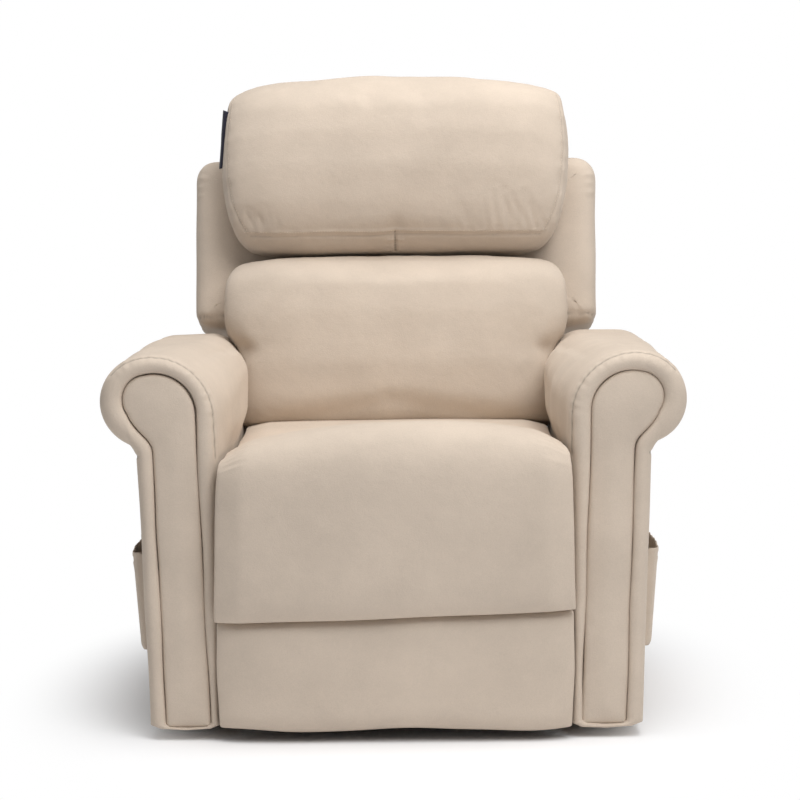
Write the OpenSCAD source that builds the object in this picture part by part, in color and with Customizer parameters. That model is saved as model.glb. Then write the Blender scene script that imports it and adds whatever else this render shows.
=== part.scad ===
/* [Overall] */
// Width across the arm rolls
overall_w = 872; // [850:1:910]
// Clear width between the arm frames
seat_gap_w = 510; // [490:1:530]
// Front face of the arms, forward of the origin
arm_front_f = 410; // [405:1:415]
// Depth of the arms from front to rear
arm_depth = 660; // [640:1:675]
// Height of the arms above the floor
arm_top_z = 581; // [570:1:590]
// Clearance under the arms
arm_bottom_z = 15; // [12:1:30]

/* [Arms] */
// Radius of the scroll along the top of each arm
roll_r = 71; // [66:1:74]
// Inward lean of the arm's outer side between scroll and floor
stem_lean = 14; // [10:1:22]
// Distance from the scroll's centre line to the outer side below it
stem_out = 20; // [14:1:24]
// Width of the border around the front panel
facing_border = 33; // [26:1:38]
// Thickness of the front panel
facing_t = 13; // [8:1:18]
// Thickness of the arm's timber boards
board_t = 12; // [9:1:15]

/* [Pockets] */
// Height of the pocket's hem above the floor
pocket_top_z = 275; // [265:1:285]
// Height of the pocket
pocket_h = 150; // [140:1:156]
// Width of the pocket, front to rear
pocket_w = 240; // [200:1:280]
// How far the pocket stands out at its hem
pocket_out = 22; // [20:1:26]

/* [Lift] */
// Length of the lower lift link between pivots
lift_link_l = 400; // [385:1:405]
// Turn of the lower lift link from sitting to standing
lift_turn = 56; // [50:1:58]
// Forward tilt of the seat when it is raised
lift_tilt = 26; // [20:1:28]
// Width of the lift links
lift_link_w = 28; // [24:1:30]
// Thickness of the lift links
lift_link_t = 6; // [4:1:7]
// Height of the lower pivot of the lift
lift_pivot_z = 78; // [74:1:84]

/* [Base frame] */
// Side of the square base tubes
base_tube = 30; // [25:1:34]
// Wall of the square tubes
tube_wall = 2; // [1.5:0.5:3]
// Length of the base rails
base_l = 500; // [490:2:520]
// Height of the floor glides
glide_h = 15; // [12:1:20]

/* [Footrest] */
// Turn of the footrest from shut to open
foot_turn = 86; // [80:1:88]
// Gap between the footrest board and each arm frame
foot_board_in = 15; // [11:1:30]
// Height of the footrest board
foot_board_h = 355; // [330:1:360]
// Thickness of the footrest board
foot_board_t = 15; // [12:1:18]
// Width of the footrest links
link_w = 20; // [16:1:20]
// Thickness of the footrest links
link_t = 4; // [3:0.5:4]

/* [Back] */
// Lean of the upright back
back_lean = 13; // [10:1:14]
// How far each wing reaches past the arm frame's inner side
wing_out = 100; // [90:1:115]
// Height of the wings above the hinge, along the back
wing_h = 559; // [540:1:570]
// Thickness of the outer back
shell_t = 135; // [120:1:145]

/* [Cushions] */
// How far the head cushion reaches past each arm frame's inner side
head_out = 45; // [30:1:55]
// Height of the head cushion
head_h = 322; // [300:1:330]
// Thickness of the head cushion
head_t = 150; // [130:1:160]
// How far the lumbar cushion's lobes reach over each arm
lumbar_out = 45; // [30:1:47]
// Thickness of the lumbar cushion
lumbar_t = 128; // [110:1:135]
// How far the footrest pad laps over the front of each arm
pad_out = 10; // [6:1:16]
// Thickness of the footrest pad
pad_t = 48; // [40:1:52]
// Height of the seat cushion's front edge above the floor
seat_front_z = 480; // [474:1:486]

/* [Hidden] */

// Points on a side view are [forward, up]: forward is -Y
// Segments in each quarter of a drawn arc
arc_n = 6;
// Overrun of every cut
over = 1;
// Radial clearance of a turning fit
fit = 0.05;
// Gap between plates that pass each other
layer_gap = 0.4;
// Gap between a soft piece and its neighbour
soft_gap = 0.6;
// Glue line between butted boards
glue_line = 0.1;

// Side plate of the mechanism
plate_t = 4;
plate_x = seat_gap_w / 2 - plate_t;
lift_x = plate_x - layer_gap - lift_link_t;
riser_t = 5;
riser_x = lift_x - layer_gap - riser_t;
rail_x = riser_x - base_tube;
// Inner face of layer n of the footrest links
function layer_x(n) = plate_x - n * (link_t + layer_gap);

// Pivots of the lift
lift_pivot_f = -215;
lift_rise = 2;
lift_a = [lift_pivot_f, lift_pivot_z];
lift_pin_r = 6;
plate_link_f = 20;
plate_link_z = 80;
lift_c = lift_a + lift_link_l * unit(lift_rise);
lift_d = lift_c + [-plate_link_f, plate_link_z];
lift_c_up = lift_a + lift_link_l * unit(lift_rise + lift_turn);
lift_d_up = lift_c_up + turned(lift_d - lift_c, -lift_tilt);
// The upper base pivot is as far from the two places of its link's other end
lift_b = [lift_pivot_f, even_z(lift_d, lift_d_up, lift_pivot_f)];

// Lift actuator
lift_motor_f = 215;
lift_motor_up = 25;
lift_g = [lift_motor_f, glide_h + base_tube + lift_motor_up];
torsion_out = 90;
torsion_r = 16;
lever_h = 107;
lift_t = lift_a + torsion_out * unit(lift_rise);
lift_e = lift_t + [0, lever_h];
lift_e_up = lift_a + turned(lift_e - lift_a, lift_turn);

// Footrest
board_f = 395;
board_top_z = 405;
front_pivot_f = 341.2;
front_pivot_z = 313.2;
front_pivot = [front_pivot_f, front_pivot_z];
front_arm_l = 191.4;
front_arm_a = 242.1;
front_mid_l = 124.1;
front_turn = 91.0;
rear_pivot_f = 289;
rear_pivot_z = 259.7;
rear_pivot = [rear_pivot_f, rear_pivot_z];
rear_turn = 83.0;
low_back = 42.2;
low_down = 116.9;
high_back = 15.3;
high_down = 54.1;
link_tail = 77.3;
foot_low = [board_f - low_back, board_top_z - low_down];
foot_high = [board_f - high_back, board_top_z - high_down];
front_end = front_pivot + front_arm_l * unit(front_arm_a);
front_mid = front_pivot + front_mid_l * unit(front_arm_a);
long_a = heading(foot_high - front_mid);
rear_end = front_mid - link_tail * unit(long_a);
link_pin_r = 4.5;
front_pin_r = 5;

// Drive tube of the footrest and its lever
drive_r = 9;
drive_lever_l = 36;
drive_dir = 270 - front_turn / 2;
drive_end = front_pivot + drive_lever_l * unit(drive_dir);
drive_end_open = front_pivot + drive_lever_l * unit(drive_dir + front_turn);

// Back hinge, lever and its turn
back_pivot_f = -225;
back_pivot_z = 330;
back_pivot = [back_pivot_f, back_pivot_z];
back_turn = 45;
back_lever_l = 76;
back_lever_a = 270 - back_turn / 2;
back_end = back_pivot + back_lever_l * unit(back_lever_a);
back_end_down = back_pivot + back_lever_l * unit(back_lever_a + back_turn);

// Chassis tubes
cross_tube = 25;
cross_z = 285;
front_cross_f = 178;
rear_cross_f = -142;
motor_side_x = 100;
foot_motor_drop = 50;
back_motor_drop = 30;
foot_k = [rear_cross_f + cross_tube / 2, cross_z - foot_motor_drop];
back_k = [front_cross_f + cross_tube / 2, cross_z - back_motor_drop];

// Timber seat frame
rail_t = 22;
seat_rail_h = 35;
seat_rail_gap = 5;
seat_rail_x = layer_x(4) - rail_t - seat_rail_gap;
seat_frame_z = cross_z + cross_tube;
seat_front_back = 23;
seat_front_f = front_pivot_f - seat_front_back;
seat_rear_f = -190;
spring_wire_r = 1.8;
spring_n = 5;
spring_waves = 7;
spring_wave_w = 22;
deck_t = 5;
deck_z = seat_frame_z + seat_rail_h + 3 * spring_wire_r;

// Arms
roll_x = overall_w / 2 - roll_r;
roll_z = arm_top_z - roll_r;
arm_rear_f = arm_front_f - arm_depth;
arm_pad_in = 8;
arm_in_x = seat_gap_w / 2 + arm_pad_in;
roll_blend_a = 75;
roll_end_a = -77;
shoulder_r = (roll_x - arm_in_x + roll_r * cos(roll_blend_a)) / (1 + cos(roll_blend_a));
shoulder = [roll_x, roll_z] - (shoulder_r - roll_r) * unit(roll_blend_a);
stem_top_x = roll_x + stem_out;
stem_drop = 17;
stem_top_z = roll_z - roll_r - stem_drop;
stem_a = atan(stem_lean / (stem_top_z - arm_bottom_z));
arm_panel_top_z = 400;
arm_w = (overall_w - seat_gap_w) / 2;
arm_post_share = 0.42;
// How far the top board lies below the scroll's centre
arm_board_drop = 20;
arm_board_z = roll_z - arm_board_drop;
arm_post_w = arm_post_share * arm_w;
facing_inner_lean = 17;
facing_end_a = -100;
facing_foot = 4;
facing_foot_z = arm_bottom_z + facing_foot;
facing_stem_share = [0.81, 0.79];

// Widths that follow the gap between the arms
foot_board_w = seat_gap_w - 2 * foot_board_in;
pad_w = seat_gap_w + 2 * pad_out;
lumbar_w = seat_gap_w + 2 * lumbar_out;
head_w = seat_gap_w + 2 * head_out;
wing_half_w = seat_gap_w / 2 + wing_out;
shell_low_in = 12;
shell_low_half_w = seat_gap_w / 2 - shell_low_in;
head_board_out = 7;
head_board_half_w = seat_gap_w / 2 + head_board_out;

function unit(a) = [cos(a), sin(a)];
function turned(v, a) = [v[0] * cos(a) - v[1] * sin(a), v[0] * sin(a) + v[1] * cos(a)];
function heading(v) = atan2(v[1], v[0]);
function even_z(p, q, f) = (norm(q) * norm(q) - norm(p) * norm(p) - 2 * f * (q[0] - p[0]))
    / (2 * (q[1] - p[1]));
function arc(c, r, a0, a1) = let (n = max(2, ceil(abs(a1 - a0) / 90 * arc_n)))
    [for (i = [0 : n]) c + r * unit(a0 + (a1 - a0) * i / n)];
function stem_x(z) = stem_top_x - stem_lean * (stem_top_z - z) / (stem_top_z - arm_bottom_z);

// Side view outline drawn at x and as thick as t
module slab(x, t) translate([x + t, 0, 0]) rotate([90, 0, -90]) linear_extrude(t) children();
// Front view outline drawn from forward place f0 to f1
module prism(f0, f1) translate([0, -f0, 0]) rotate([90, 0, 0]) linear_extrude(f1 - f0) children();
module both_sides() {
    children();
    mirror([1, 0, 0]) children();
}
// Rod across the chair at p, from x to x + l
module across(p, r, x, l) translate([x, -p[0], p[1]]) rotate([0, 90, 0]) cylinder(r = r, h = l, $fn = 48);
// Round-ended bar between two pivots
module bar(p, q, r) {
    a = heading(q - p);
    polygon(concat(arc(p, r, a + 90, a + 270), arc(q, r, a - 90, a + 90)));
}
// Local +X runs from p at angle a of the side view, local +Y is the chair's +X
module aim(x, p, a) translate([x, -p[0], p[1]]) rotate([-a, 0, 0]) rotate([0, 0, -90]) children();
// Square tube across the chair
module cross_bar(f, z, half_l, side) difference() {
    translate([-half_l, -f - side, z]) cube([2 * half_l, side, side]);
    translate([-half_l - over, -f - side + tube_wall, z + tube_wall])
        cube([2 * half_l + 2 * over, side - 2 * tube_wall, side - 2 * tube_wall]);
}

// Soft pieces: rings of a rounded box, each row of shares is place, width, thickness, offset
ring_n = 28;
round_box = 4.5;
square_box = 5;
function rounded(v, e) = sign(v) * pow(abs(v), 2 / e);
function ring(row, size, e) = [for (i = [0 : ring_n - 1]) let (a = 360 * i / ring_n)
    [size[0] / 2 * row[1] * rounded(cos(a), e), size[1] * (row[2] / 2 * rounded(sin(a), e) + row[3]),
        size[2] * row[0]]];
module soft_form(rows_share, size, e) {
    n = len(rows_share);
    last = ring_n - 1;
    polyhedron(
        [for (row = rows_share) each ring(row, size, e)],
        concat(
            [[for (i = [0 : last]) i]],
            [for (j = [0 : n - 2], i = [0 : last]) let (k = (i + 1) % ring_n)
                [j * ring_n + i, (j + 1) * ring_n + i, (j + 1) * ring_n + k]],
            [for (j = [0 : n - 2], i = [0 : last]) let (k = (i + 1) % ring_n)
                [j * ring_n + i, (j + 1) * ring_n + k, j * ring_n + k]],
            [[for (i = [last : -1 : 0]) (n - 1) * ring_n + i]]));
}
// Frame of the back: local Z runs up the back, local Y rearward
module on_back() translate([0, -back_pivot[0], back_pivot[1]]) rotate([-back_lean, 0, 0]) children();

module base_side_rails() color("#2b2b2d") both_sides() difference() {
    translate([rail_x, -base_l / 2, glide_h]) cube([base_tube, base_l, base_tube]);
    translate([rail_x + tube_wall, -base_l / 2 - over, glide_h + tube_wall])
        cube([base_tube - 2 * tube_wall, base_l + 2 * over, base_tube - 2 * tube_wall]);
}
module base_cross_tubes() color("#2b2b2d") {
    cross_bar(lift_motor_f - base_tube / 2, glide_h, rail_x, base_tube);
    cross_bar(-base_l / 2, glide_h, rail_x, base_tube);
}
riser_foot = 30;
riser_boss = 20;
module riser_plates() color("#2b2b2d") both_sides() difference() {
    slab(riser_x, riser_t) polygon(concat(
        [[lift_a[0] + riser_foot, glide_h], [lift_a[0] + riser_foot, lift_a[1]]],
        arc(lift_b, riser_boss, 0, 180),
        [[max(lift_a[0] - riser_foot, -base_l / 2), lift_a[1]],
            [max(lift_a[0] - riser_foot, -base_l / 2), glide_h]]));
    for (p = [lift_a, lift_b]) across(p, lift_pin_r + fit, riser_x - over, riser_t + 2 * over);
}
glide_r = 18;
glide_taper = 2;
glide_inset = 25;
module floor_glides() color("#1c1c1c")
    for (x = [-1, 1], y = [-1, 1])
        translate([x * (rail_x + base_tube / 2), y * (base_l / 2 - glide_inset), 0])
            cylinder(r1 = glide_r - glide_taper, r2 = glide_r, h = glide_h, $fn = 40);
lug_r = 13;
lug_t = 5;
motor_lug_w = 24;
motor_pin_r = 5;
// Pair of ears hung from or stood on a tube face at z, holding a pin at p
module ears(x, p, z, wide) difference() {
    for (s = [-1, 1]) slab(x + s * (motor_lug_w / 2 + layer_gap + lug_t / 2) - lug_t / 2, lug_t)
        polygon(concat(p[1] > z ? arc(p, lug_r, 0, 180) : arc(p, lug_r, 180, 360),
            p[1] > z ? [[p[0] - wide / 2, z], [p[0] + wide / 2, z]]
                : [[p[0] + wide / 2, z], [p[0] - wide / 2, z]]));
    across(p, motor_pin_r + fit, x - motor_lug_w, 2 * motor_lug_w);
}
motor_head_t = 2.5;
module motor_pin(x, p) {
    half_l = motor_lug_w / 2 + layer_gap + lug_t;
    across(p, motor_pin_r, x - half_l, 2 * half_l);
    for (s = [-1, 1])
        across(p, motor_pin_r + motor_head_t, x + s * (half_l + motor_head_t / 2) - motor_head_t / 2,
            motor_head_t);
}
module lift_motor_bracket() color("#2b2b2d") ears(0, lift_g, glide_h + base_tube, base_tube);
pin_head_r = 10;
pin_head_t = 3;
module base_pins() color("#8f8f92") {
    both_sides() for (p = [lift_a, lift_b]) {
        across(p, lift_pin_r, riser_x, riser_t + layer_gap + lift_link_t);
        across(p, pin_head_r, riser_x - pin_head_t, pin_head_t);
    }
    motor_pin(0, lift_g);
}
module lift_link(p, q, holes) difference() {
    slab(lift_x, lift_link_t) bar(p, q, lift_link_w / 2);
    for (c = holes) across(c, lift_pin_r + fit, lift_x - over, lift_link_t + 2 * over);
}
module lower_lift_links() color("#2b2b2d") both_sides() lift_link(lift_a, lift_c, [lift_a, lift_c]);
// The upper link's far end carries its own rivet head
module upper_lift_links() color("#2b2b2d") both_sides() {
    lift_link(lift_b, lift_d, [lift_b]);
    across(lift_d, pin_head_r, lift_x - pin_head_t, pin_head_t);
}
rod_eye_w = 16;
lever_t = 5;
lever_r = 14;
// Pair of lever plates at x that lie either side of a rod's eye
module lever_pair(x, p, q, r) difference() {
    for (s = [-1, 1])
        slab(x + s * (rod_eye_w / 2 + layer_gap + lever_t / 2) - lever_t / 2, lever_t) bar(p, q, r);
    across(q, motor_pin_r + fit, x - rod_eye_w, 2 * rod_eye_w);
}
module torsion_tube() color("#2b2b2d") union() {
    difference() {
        across(lift_t, torsion_r, -lift_x, 2 * lift_x);
        across(lift_t, torsion_r - 1.5 * tube_wall, -lift_x - over, 2 * lift_x + 2 * over);
    }
    difference() {
        lever_pair(0, lift_t, lift_e, lever_r);
        across(lift_t, torsion_r - tube_wall, -rod_eye_w, 2 * rod_eye_w);
    }
}

// Side plate of the mechanism: a long rail with a leg for the lift and a toe for the footrest
plate_rail_z = 296;
plate_rail_h = 52;
plate_boss = 17;
module mechanism_plates() color("#3a3a3c") both_sides() difference() {
    slab(plate_x, plate_t) union() {
        polygon([[back_pivot[0] - plate_boss, plate_rail_z], [front_pivot[0], plate_rail_z],
            [front_pivot[0], plate_rail_z + plate_rail_h],
            [back_pivot[0] - plate_boss, plate_rail_z + plate_rail_h]]);
        polygon(concat(arc(front_pivot, plate_boss, -90, 60),
            [[front_pivot[0] - plate_rail_h, plate_rail_z + plate_rail_h],
                [lift_c[0], plate_rail_z + plate_rail_h]],
            [[lift_d[0] - plate_rail_h, plate_rail_z + plate_boss]],
            arc(lift_c, plate_boss, 180, 360), arc(rear_pivot, plate_boss, 250, 310)));
    }
    across(back_pivot, back_pin_r + fit, plate_x - over, plate_t + 2 * over);
    for (p = [lift_c, lift_d]) across(p, lift_pin_r + fit, plate_x - over, plate_t + 2 * over);
    across(front_pivot, front_pin_r + fit, plate_x - over, plate_t + 2 * over);
    across(rear_pivot, front_pin_r + fit, plate_x - over, plate_t + 2 * over);
    for (f = bolt_places()) across([f, bolt_z], bolt_r + fit, plate_x - over, plate_t + 2 * over);
}
module chassis_cross_tubes() color("#2b2b2d") {
    cross_bar(front_cross_f, cross_z, plate_x, cross_tube);
    cross_bar(rear_cross_f, cross_z, plate_x, cross_tube);
}
module motor_brackets() color("#2b2b2d") {
    ears(-motor_side_x, foot_k, cross_z, cross_tube);
    ears(motor_side_x, back_k, cross_z, cross_tube);
}
back_pin_r = 7;
module chassis_pins() color("#8f8f92") {
    both_sides() {
        across(lift_c, lift_pin_r, lift_x, seat_gap_w / 2 - lift_x);
        across(lift_c, pin_head_r, lift_x - pin_head_t, pin_head_t);
        across(lift_d, lift_pin_r, plate_x, plate_t);
        across(front_pivot, front_pin_r, layer_x(3), seat_gap_w / 2 - layer_x(3));
        across(rear_pivot, front_pin_r, layer_x(1), seat_gap_w / 2 - layer_x(1));
        across(back_pivot, back_pin_r, layer_x(1), seat_gap_w / 2 - layer_x(1));
    }
    motor_pin(-motor_side_x, foot_k);
    motor_pin(motor_side_x, back_k);
}
module seat_frame() color("#b98d58") {
    both_sides() translate([seat_rail_x, -seat_front_f, seat_frame_z])
        cube([rail_t, seat_front_f - seat_rear_f, seat_rail_h]);
    for (f = [seat_front_f, seat_rear_f + rail_t]) translate([-seat_rail_x + glue_line, -f, seat_frame_z])
        cube([2 * (seat_rail_x - glue_line), rail_t, seat_rail_h]);
}
// Wavy wire from the front rail to the rear rail
spring_l = seat_front_f - seat_rear_f - rail_t;
spring_steps = 8;
spring_sides = 6;
spring_loop_share = 0.12;
function spring_point(i) = let (a = 360 * i / spring_steps)
    [spring_wave_w * sin(a) * min(1, i / 2, (spring_waves * spring_steps - i) / 2),
        spring_l / spring_waves * (i / spring_steps - spring_loop_share * sin(2 * a))];
module seat_spring() {
    n = spring_waves * spring_steps;
    rings = [for (i = [0 : n])
        let (c = spring_point(i), d = spring_point(min(n, i + 1)) - spring_point(max(0, i - 1)),
            h = heading(d) + 90)
        for (k = [0 : spring_sides - 1]) let (b = 360 * k / spring_sides)
            [c[0] + spring_wire_r * cos(b) * cos(h), c[1] + spring_wire_r * cos(b) * sin(h),
                spring_wire_r * sin(b)]];
    polyhedron(rings, concat(
        [[for (k = [0 : spring_sides - 1]) k]],
        [for (i = [0 : n - 1], k = [0 : spring_sides - 1]) let (m = (k + 1) % spring_sides)
            [i * spring_sides + k, (i + 1) * spring_sides + k, (i + 1) * spring_sides + m]],
        [for (i = [0 : n - 1], k = [0 : spring_sides - 1]) let (m = (k + 1) % spring_sides)
            [i * spring_sides + k, (i + 1) * spring_sides + m, i * spring_sides + m]],
        [[for (k = [spring_sides - 1 : -1 : 0]) n * spring_sides + k]]));
}
function spring_places() = [for (i = [1 : spring_n]) seat_rail_x * (2 * i / (spring_n + 1) - 1)];
spring_lift = 1.5 * spring_wire_r;
module seat_springs() color("#6f6f73") for (x = spring_places())
    translate([x, -seat_front_f + rail_t / 2, seat_frame_z + seat_rail_h + spring_lift]) seat_spring();
clip_w = 18;
clip_t = 1.5;
clip_gap = 0.45;
// Folded clips that hold the wire's ends on the rails
module spring_clips() color("#9a9a9e") for (x = spring_places(), f = [seat_front_f - rail_t, seat_rear_f])
    translate([x - clip_w / 2, -f - rail_t, seat_frame_z + seat_rail_h]) difference() {
        cube([clip_w, rail_t, 2 * spring_lift]);
        translate([-over, clip_t, clip_gap])
            cube([clip_w + 2 * over, rail_t - 2 * clip_t, 2 * (spring_lift - clip_gap)]);
    }
module seat_deck() color("#c9b9a2") translate([-seat_rail_x - rail_t, -seat_front_f, deck_z])
    cube([2 * (seat_rail_x + rail_t), seat_front_f - seat_rear_f, deck_t]);
seat_cushion_rear_f = -160;
seat_nose_f = arm_front_f + pad_t;
seat_t = seat_front_z - deck_z - deck_t - soft_gap;
seat_rows_share = [[0, 0.9, 0.12, 0.19], [0.013, 0.925, 0.34, 0.2], [0.076, 0.935, 0.5, 0.255],
    [0.173, 0.94, 0.6, 0.305], [0.307, 0.94, 0.64, 0.325], [0.583, 0.94, 0.67, 0.34],
    [0.744, 0.94, 0.78, 0.393], [0.833, 0.94, 0.92, 0.463], [0.861, 0.945, 0.78, 0.56],
    [0.896, 0.955, 0.29, 0.843], [0.912, 0.958, 0.3, 0.847], [0.923, 0.962, 0.302, 0.848],
    [0.926, 1, 0.303, 0.848], [0.955, 1, 0.305, 0.847], [0.984, 1, 0.26, 0.833],
    [0.997, 0.99, 0.16, 0.84], [1, 0.975, 0.08, 0.84]];
module seat_cushion() color("#bfae9b")
    translate([0, -seat_cushion_rear_f, deck_z + deck_t + soft_gap]) rotate([90, 0, 0])
        soft_form(seat_rows_share, [pad_w, seat_t, seat_nose_f - seat_cushion_rear_f], square_box);

// Timber frame of an arm: inner panel, front and rear posts, top board and floor rail, butted at glue lines
arm_top_board_share = 0.55;
arm_top_board_w = arm_top_board_share * arm_w;
module arm_frame() color("#b98d58") {
    frame_front_f = arm_front_f - facing_t - 2 * board_t;
    frame_rear_f = arm_rear_f + board_t;
    difference() {
        translate([seat_gap_w / 2, -frame_front_f, arm_bottom_z + board_t / 2])
            cube([board_t, frame_front_f - frame_rear_f, arm_panel_top_z - arm_bottom_z - board_t / 2]);
        for (f = bolt_places()) across([f, bolt_z], bolt_r + fit, seat_gap_w / 2 - over, board_t + 2 * over);
    }
    for (f = [frame_front_f, frame_rear_f + board_t])
        translate([seat_gap_w / 2 + board_t + glue_line, -f, arm_bottom_z + board_t / 2])
            cube([arm_post_w - glue_line, board_t, arm_board_z - arm_bottom_z - board_t - glue_line]);
    translate([seat_gap_w / 2 + 1.5 * board_t, -frame_front_f, arm_board_z - board_t / 2])
        cube([arm_top_board_w, frame_front_f - frame_rear_f, board_t]);
    translate([seat_gap_w / 2 + board_t + glue_line, -frame_front_f + board_t + glue_line,
        arm_bottom_z + board_t / 2])
        cube([arm_post_w - glue_line, frame_front_f - frame_rear_f - 2 * board_t - 2 * glue_line, board_t]);
}
module arm_frame_left() mirror([1, 0, 0]) arm_frame();
module arm_frame_right() arm_frame();
// Front outline of a padded arm: straight inner side, broad shoulder, scroll, leaning outer side
module arm_outline() polygon(concat(
    [[arm_in_x, arm_bottom_z]],
    arc(shoulder, shoulder_r, 180, roll_blend_a),
    arc([roll_x, roll_z], roll_r, roll_blend_a, roll_end_a),
    [[stem_top_x, stem_top_z], [stem_x(arm_bottom_z), arm_bottom_z]]));
// Outline of the front panel, inset by a border
module facing_outline(grow) polygon(concat(
    [[shoulder[0] - shoulder_r + facing_border - facing_inner_lean - grow, facing_foot_z - grow]],
    arc(shoulder, shoulder_r - facing_border + grow, 180, roll_blend_a),
    arc([roll_x, roll_z], roll_r - facing_border + grow, roll_blend_a, facing_end_a),
    [[stem_x(stem_top_z) - facing_stem_share[0] * facing_border + grow, stem_top_z],
        [stem_x(arm_bottom_z) - facing_stem_share[1] * facing_border + grow, facing_foot_z - grow]]));
module arm_cover() color("#b9a996") difference() {
    prism(arm_rear_f, arm_front_f) arm_outline();
    prism(arm_front_f - facing_t - soft_gap, arm_front_f + over) facing_outline(soft_gap / 2);
    translate([seat_gap_w / 2 - over, -arm_front_f + facing_t + 2 * board_t - soft_gap, arm_bottom_z - over])
        cube([board_t + over + arm_post_w + soft_gap, arm_depth - facing_t - 3 * board_t + 2 * soft_gap,
            arm_panel_top_z - arm_bottom_z + over + soft_gap]);
    translate([seat_gap_w / 2 + board_t - soft_gap, -arm_front_f + facing_t + 2 * board_t - soft_gap,
        arm_bottom_z])
        cube([arm_post_w + 2 * soft_gap, arm_depth - facing_t - 3 * board_t + 2 * soft_gap,
            arm_board_z - arm_bottom_z]);
    translate([seat_gap_w / 2 + 1.5 * board_t - soft_gap, -arm_front_f + facing_t + 2 * board_t - soft_gap,
        arm_board_z - board_t / 2 - soft_gap])
        cube([arm_top_board_w + 2 * soft_gap, arm_depth - facing_t - 3 * board_t + 2 * soft_gap,
            board_t + 2 * soft_gap]);
}
module arm_cover_left() mirror([1, 0, 0]) arm_cover();
module arm_cover_right() arm_cover();
module arm_facing() color("#c3b3a0") prism(arm_front_f - facing_t, arm_front_f - soft_gap) facing_outline(0);
module arm_facing_left() mirror([1, 0, 0]) arm_facing();
module arm_facing_right() arm_facing();
pocket_rear_f = 90;
pocket_wall = 3;
pocket_foot_out = 18;
pocket_chamfer = 4;
pocket_foot_z = pocket_top_z - pocket_h;
// Side pocket: open at the hem, with its back on the arm
module pocket() color("#b9a996") difference() {
    prism(pocket_rear_f, pocket_rear_f + pocket_w) polygon([
        [stem_x(pocket_top_z), pocket_top_z], [stem_x(pocket_top_z) + pocket_out, pocket_top_z],
        [stem_x(pocket_foot_z) + pocket_foot_out, pocket_foot_z + pocket_chamfer],
        [stem_x(pocket_foot_z) + pocket_foot_out - pocket_chamfer, pocket_foot_z],
        [stem_x(pocket_foot_z), pocket_foot_z]]);
    prism(pocket_rear_f + pocket_wall, pocket_rear_f + pocket_w - pocket_wall) polygon([
        [stem_x(pocket_top_z) - over, pocket_top_z + over],
        [stem_x(pocket_top_z) + pocket_out - pocket_wall, pocket_top_z + over],
        [stem_x(pocket_foot_z) + pocket_foot_out - pocket_wall, pocket_foot_z + pocket_wall],
        [stem_x(pocket_foot_z) - over, pocket_foot_z + pocket_wall]]);
}
module pocket_left() mirror([1, 0, 0]) pocket();
module pocket_right() pocket();
rear_panel_top_z = 284;
rear_panel_foot_z = 52;
rear_notch_w = 60;
rear_notch_h = 48;
module rear_panel() color("#5a544c") difference() {
    translate([-seat_gap_w / 2 - arm_post_w, -arm_rear_f, rear_panel_foot_z])
        cube([seat_gap_w + 2 * arm_post_w, board_t, rear_panel_top_z - rear_panel_foot_z]);
    translate([motor_side_x - rear_notch_w / 2, -arm_rear_f - over, rear_panel_top_z - rear_notch_h])
        cube([rear_notch_w, board_t + 2 * over, rear_notch_h + over]);
}
bolt_r = 4;
bolt_z = 324;
bolt_head_r = 6.5;
bolt_head_t = 4;
bolt_share = [-0.62, -0.08, 0.32];
function bolt_places() = [for (s = bolt_share) s * arm_depth / 2];
module frame_bolts() color("#8f8f92") both_sides() for (f = bolt_places()) {
    across([f, bolt_z], bolt_r, plate_x, plate_t + board_t);
    translate([plate_x - bolt_head_t, -f, bolt_z]) rotate([0, 90, 0])
        cylinder(r = bolt_head_r, h = bolt_head_t, $fn = 6);
}

// Back, in its own frame
frame_stile_w = 32;
frame_half_w = layer_x(1);
frame_foot = 50;
frame_t = 36;
frame_top = 600;
shell_front = -65;
shell_foot = 45;
shell_top = 652;
module back_frame() color("#b98d58") on_back() difference() {
    union() {
        for (s = [-1, 1])
            translate([s * (frame_half_w - frame_stile_w / 2) - frame_stile_w / 2, -frame_t / 2, frame_foot])
                cube([frame_stile_w, frame_t, frame_top - frame_foot]);
        rail_half_l = frame_half_w - frame_stile_w - glue_line;
        for (v = [frame_foot, (frame_foot + frame_top - frame_stile_w) / 2, frame_top - frame_stile_w])
            translate([-rail_half_l, -frame_t / 2, v]) cube([2 * rail_half_l, frame_t, frame_stile_w]);
    }
    for (s = [-1, 1], v = bracket_bolts()) translate([s * frame_half_w, 0, v]) rotate([0, 90, 0])
        cylinder(r = bolt_r + fit, h = frame_stile_w, center = true, $fn = 48);
}
bracket_l = 212;
bracket_w = 30;
bracket_bolt_share = [0.42, 0.88];
function bracket_bolts() = [for (s = bracket_bolt_share) s * bracket_l];
up_back = unit(90 + back_lean);
module back_hinge_brackets() color("#2b2b2d") both_sides() difference() {
    slab(layer_x(1), link_t) bar(back_pivot, back_pivot + bracket_l * up_back, bracket_w / 2);
    across(back_pivot, back_pin_r + fit, layer_x(1) - over, link_t + 2 * over);
    for (v = bracket_bolts())
        across(back_pivot + v * up_back, bolt_r + fit, layer_x(1) - over, link_t + 2 * over);
}
back_tube_r = 12;
module back_lever_tube() color("#2b2b2d") union() {
    difference() {
        across(back_pivot, back_tube_r, -layer_x(1), 2 * layer_x(1));
        across(back_pivot, back_tube_r - tube_wall, -layer_x(1) - over, 2 * layer_x(1) + 2 * over);
    }
    difference() {
        lever_pair(motor_side_x, back_pivot, back_end, lever_r);
        across(back_pivot, back_tube_r - tube_wall / 2, motor_side_x - rod_eye_w, 2 * rod_eye_w);
    }
}
wing_foot = 258;
wing_r = 36;
wing_cut_share = [[0.86, 0], [0.965, 0.13], [1, 0.27]];
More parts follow.
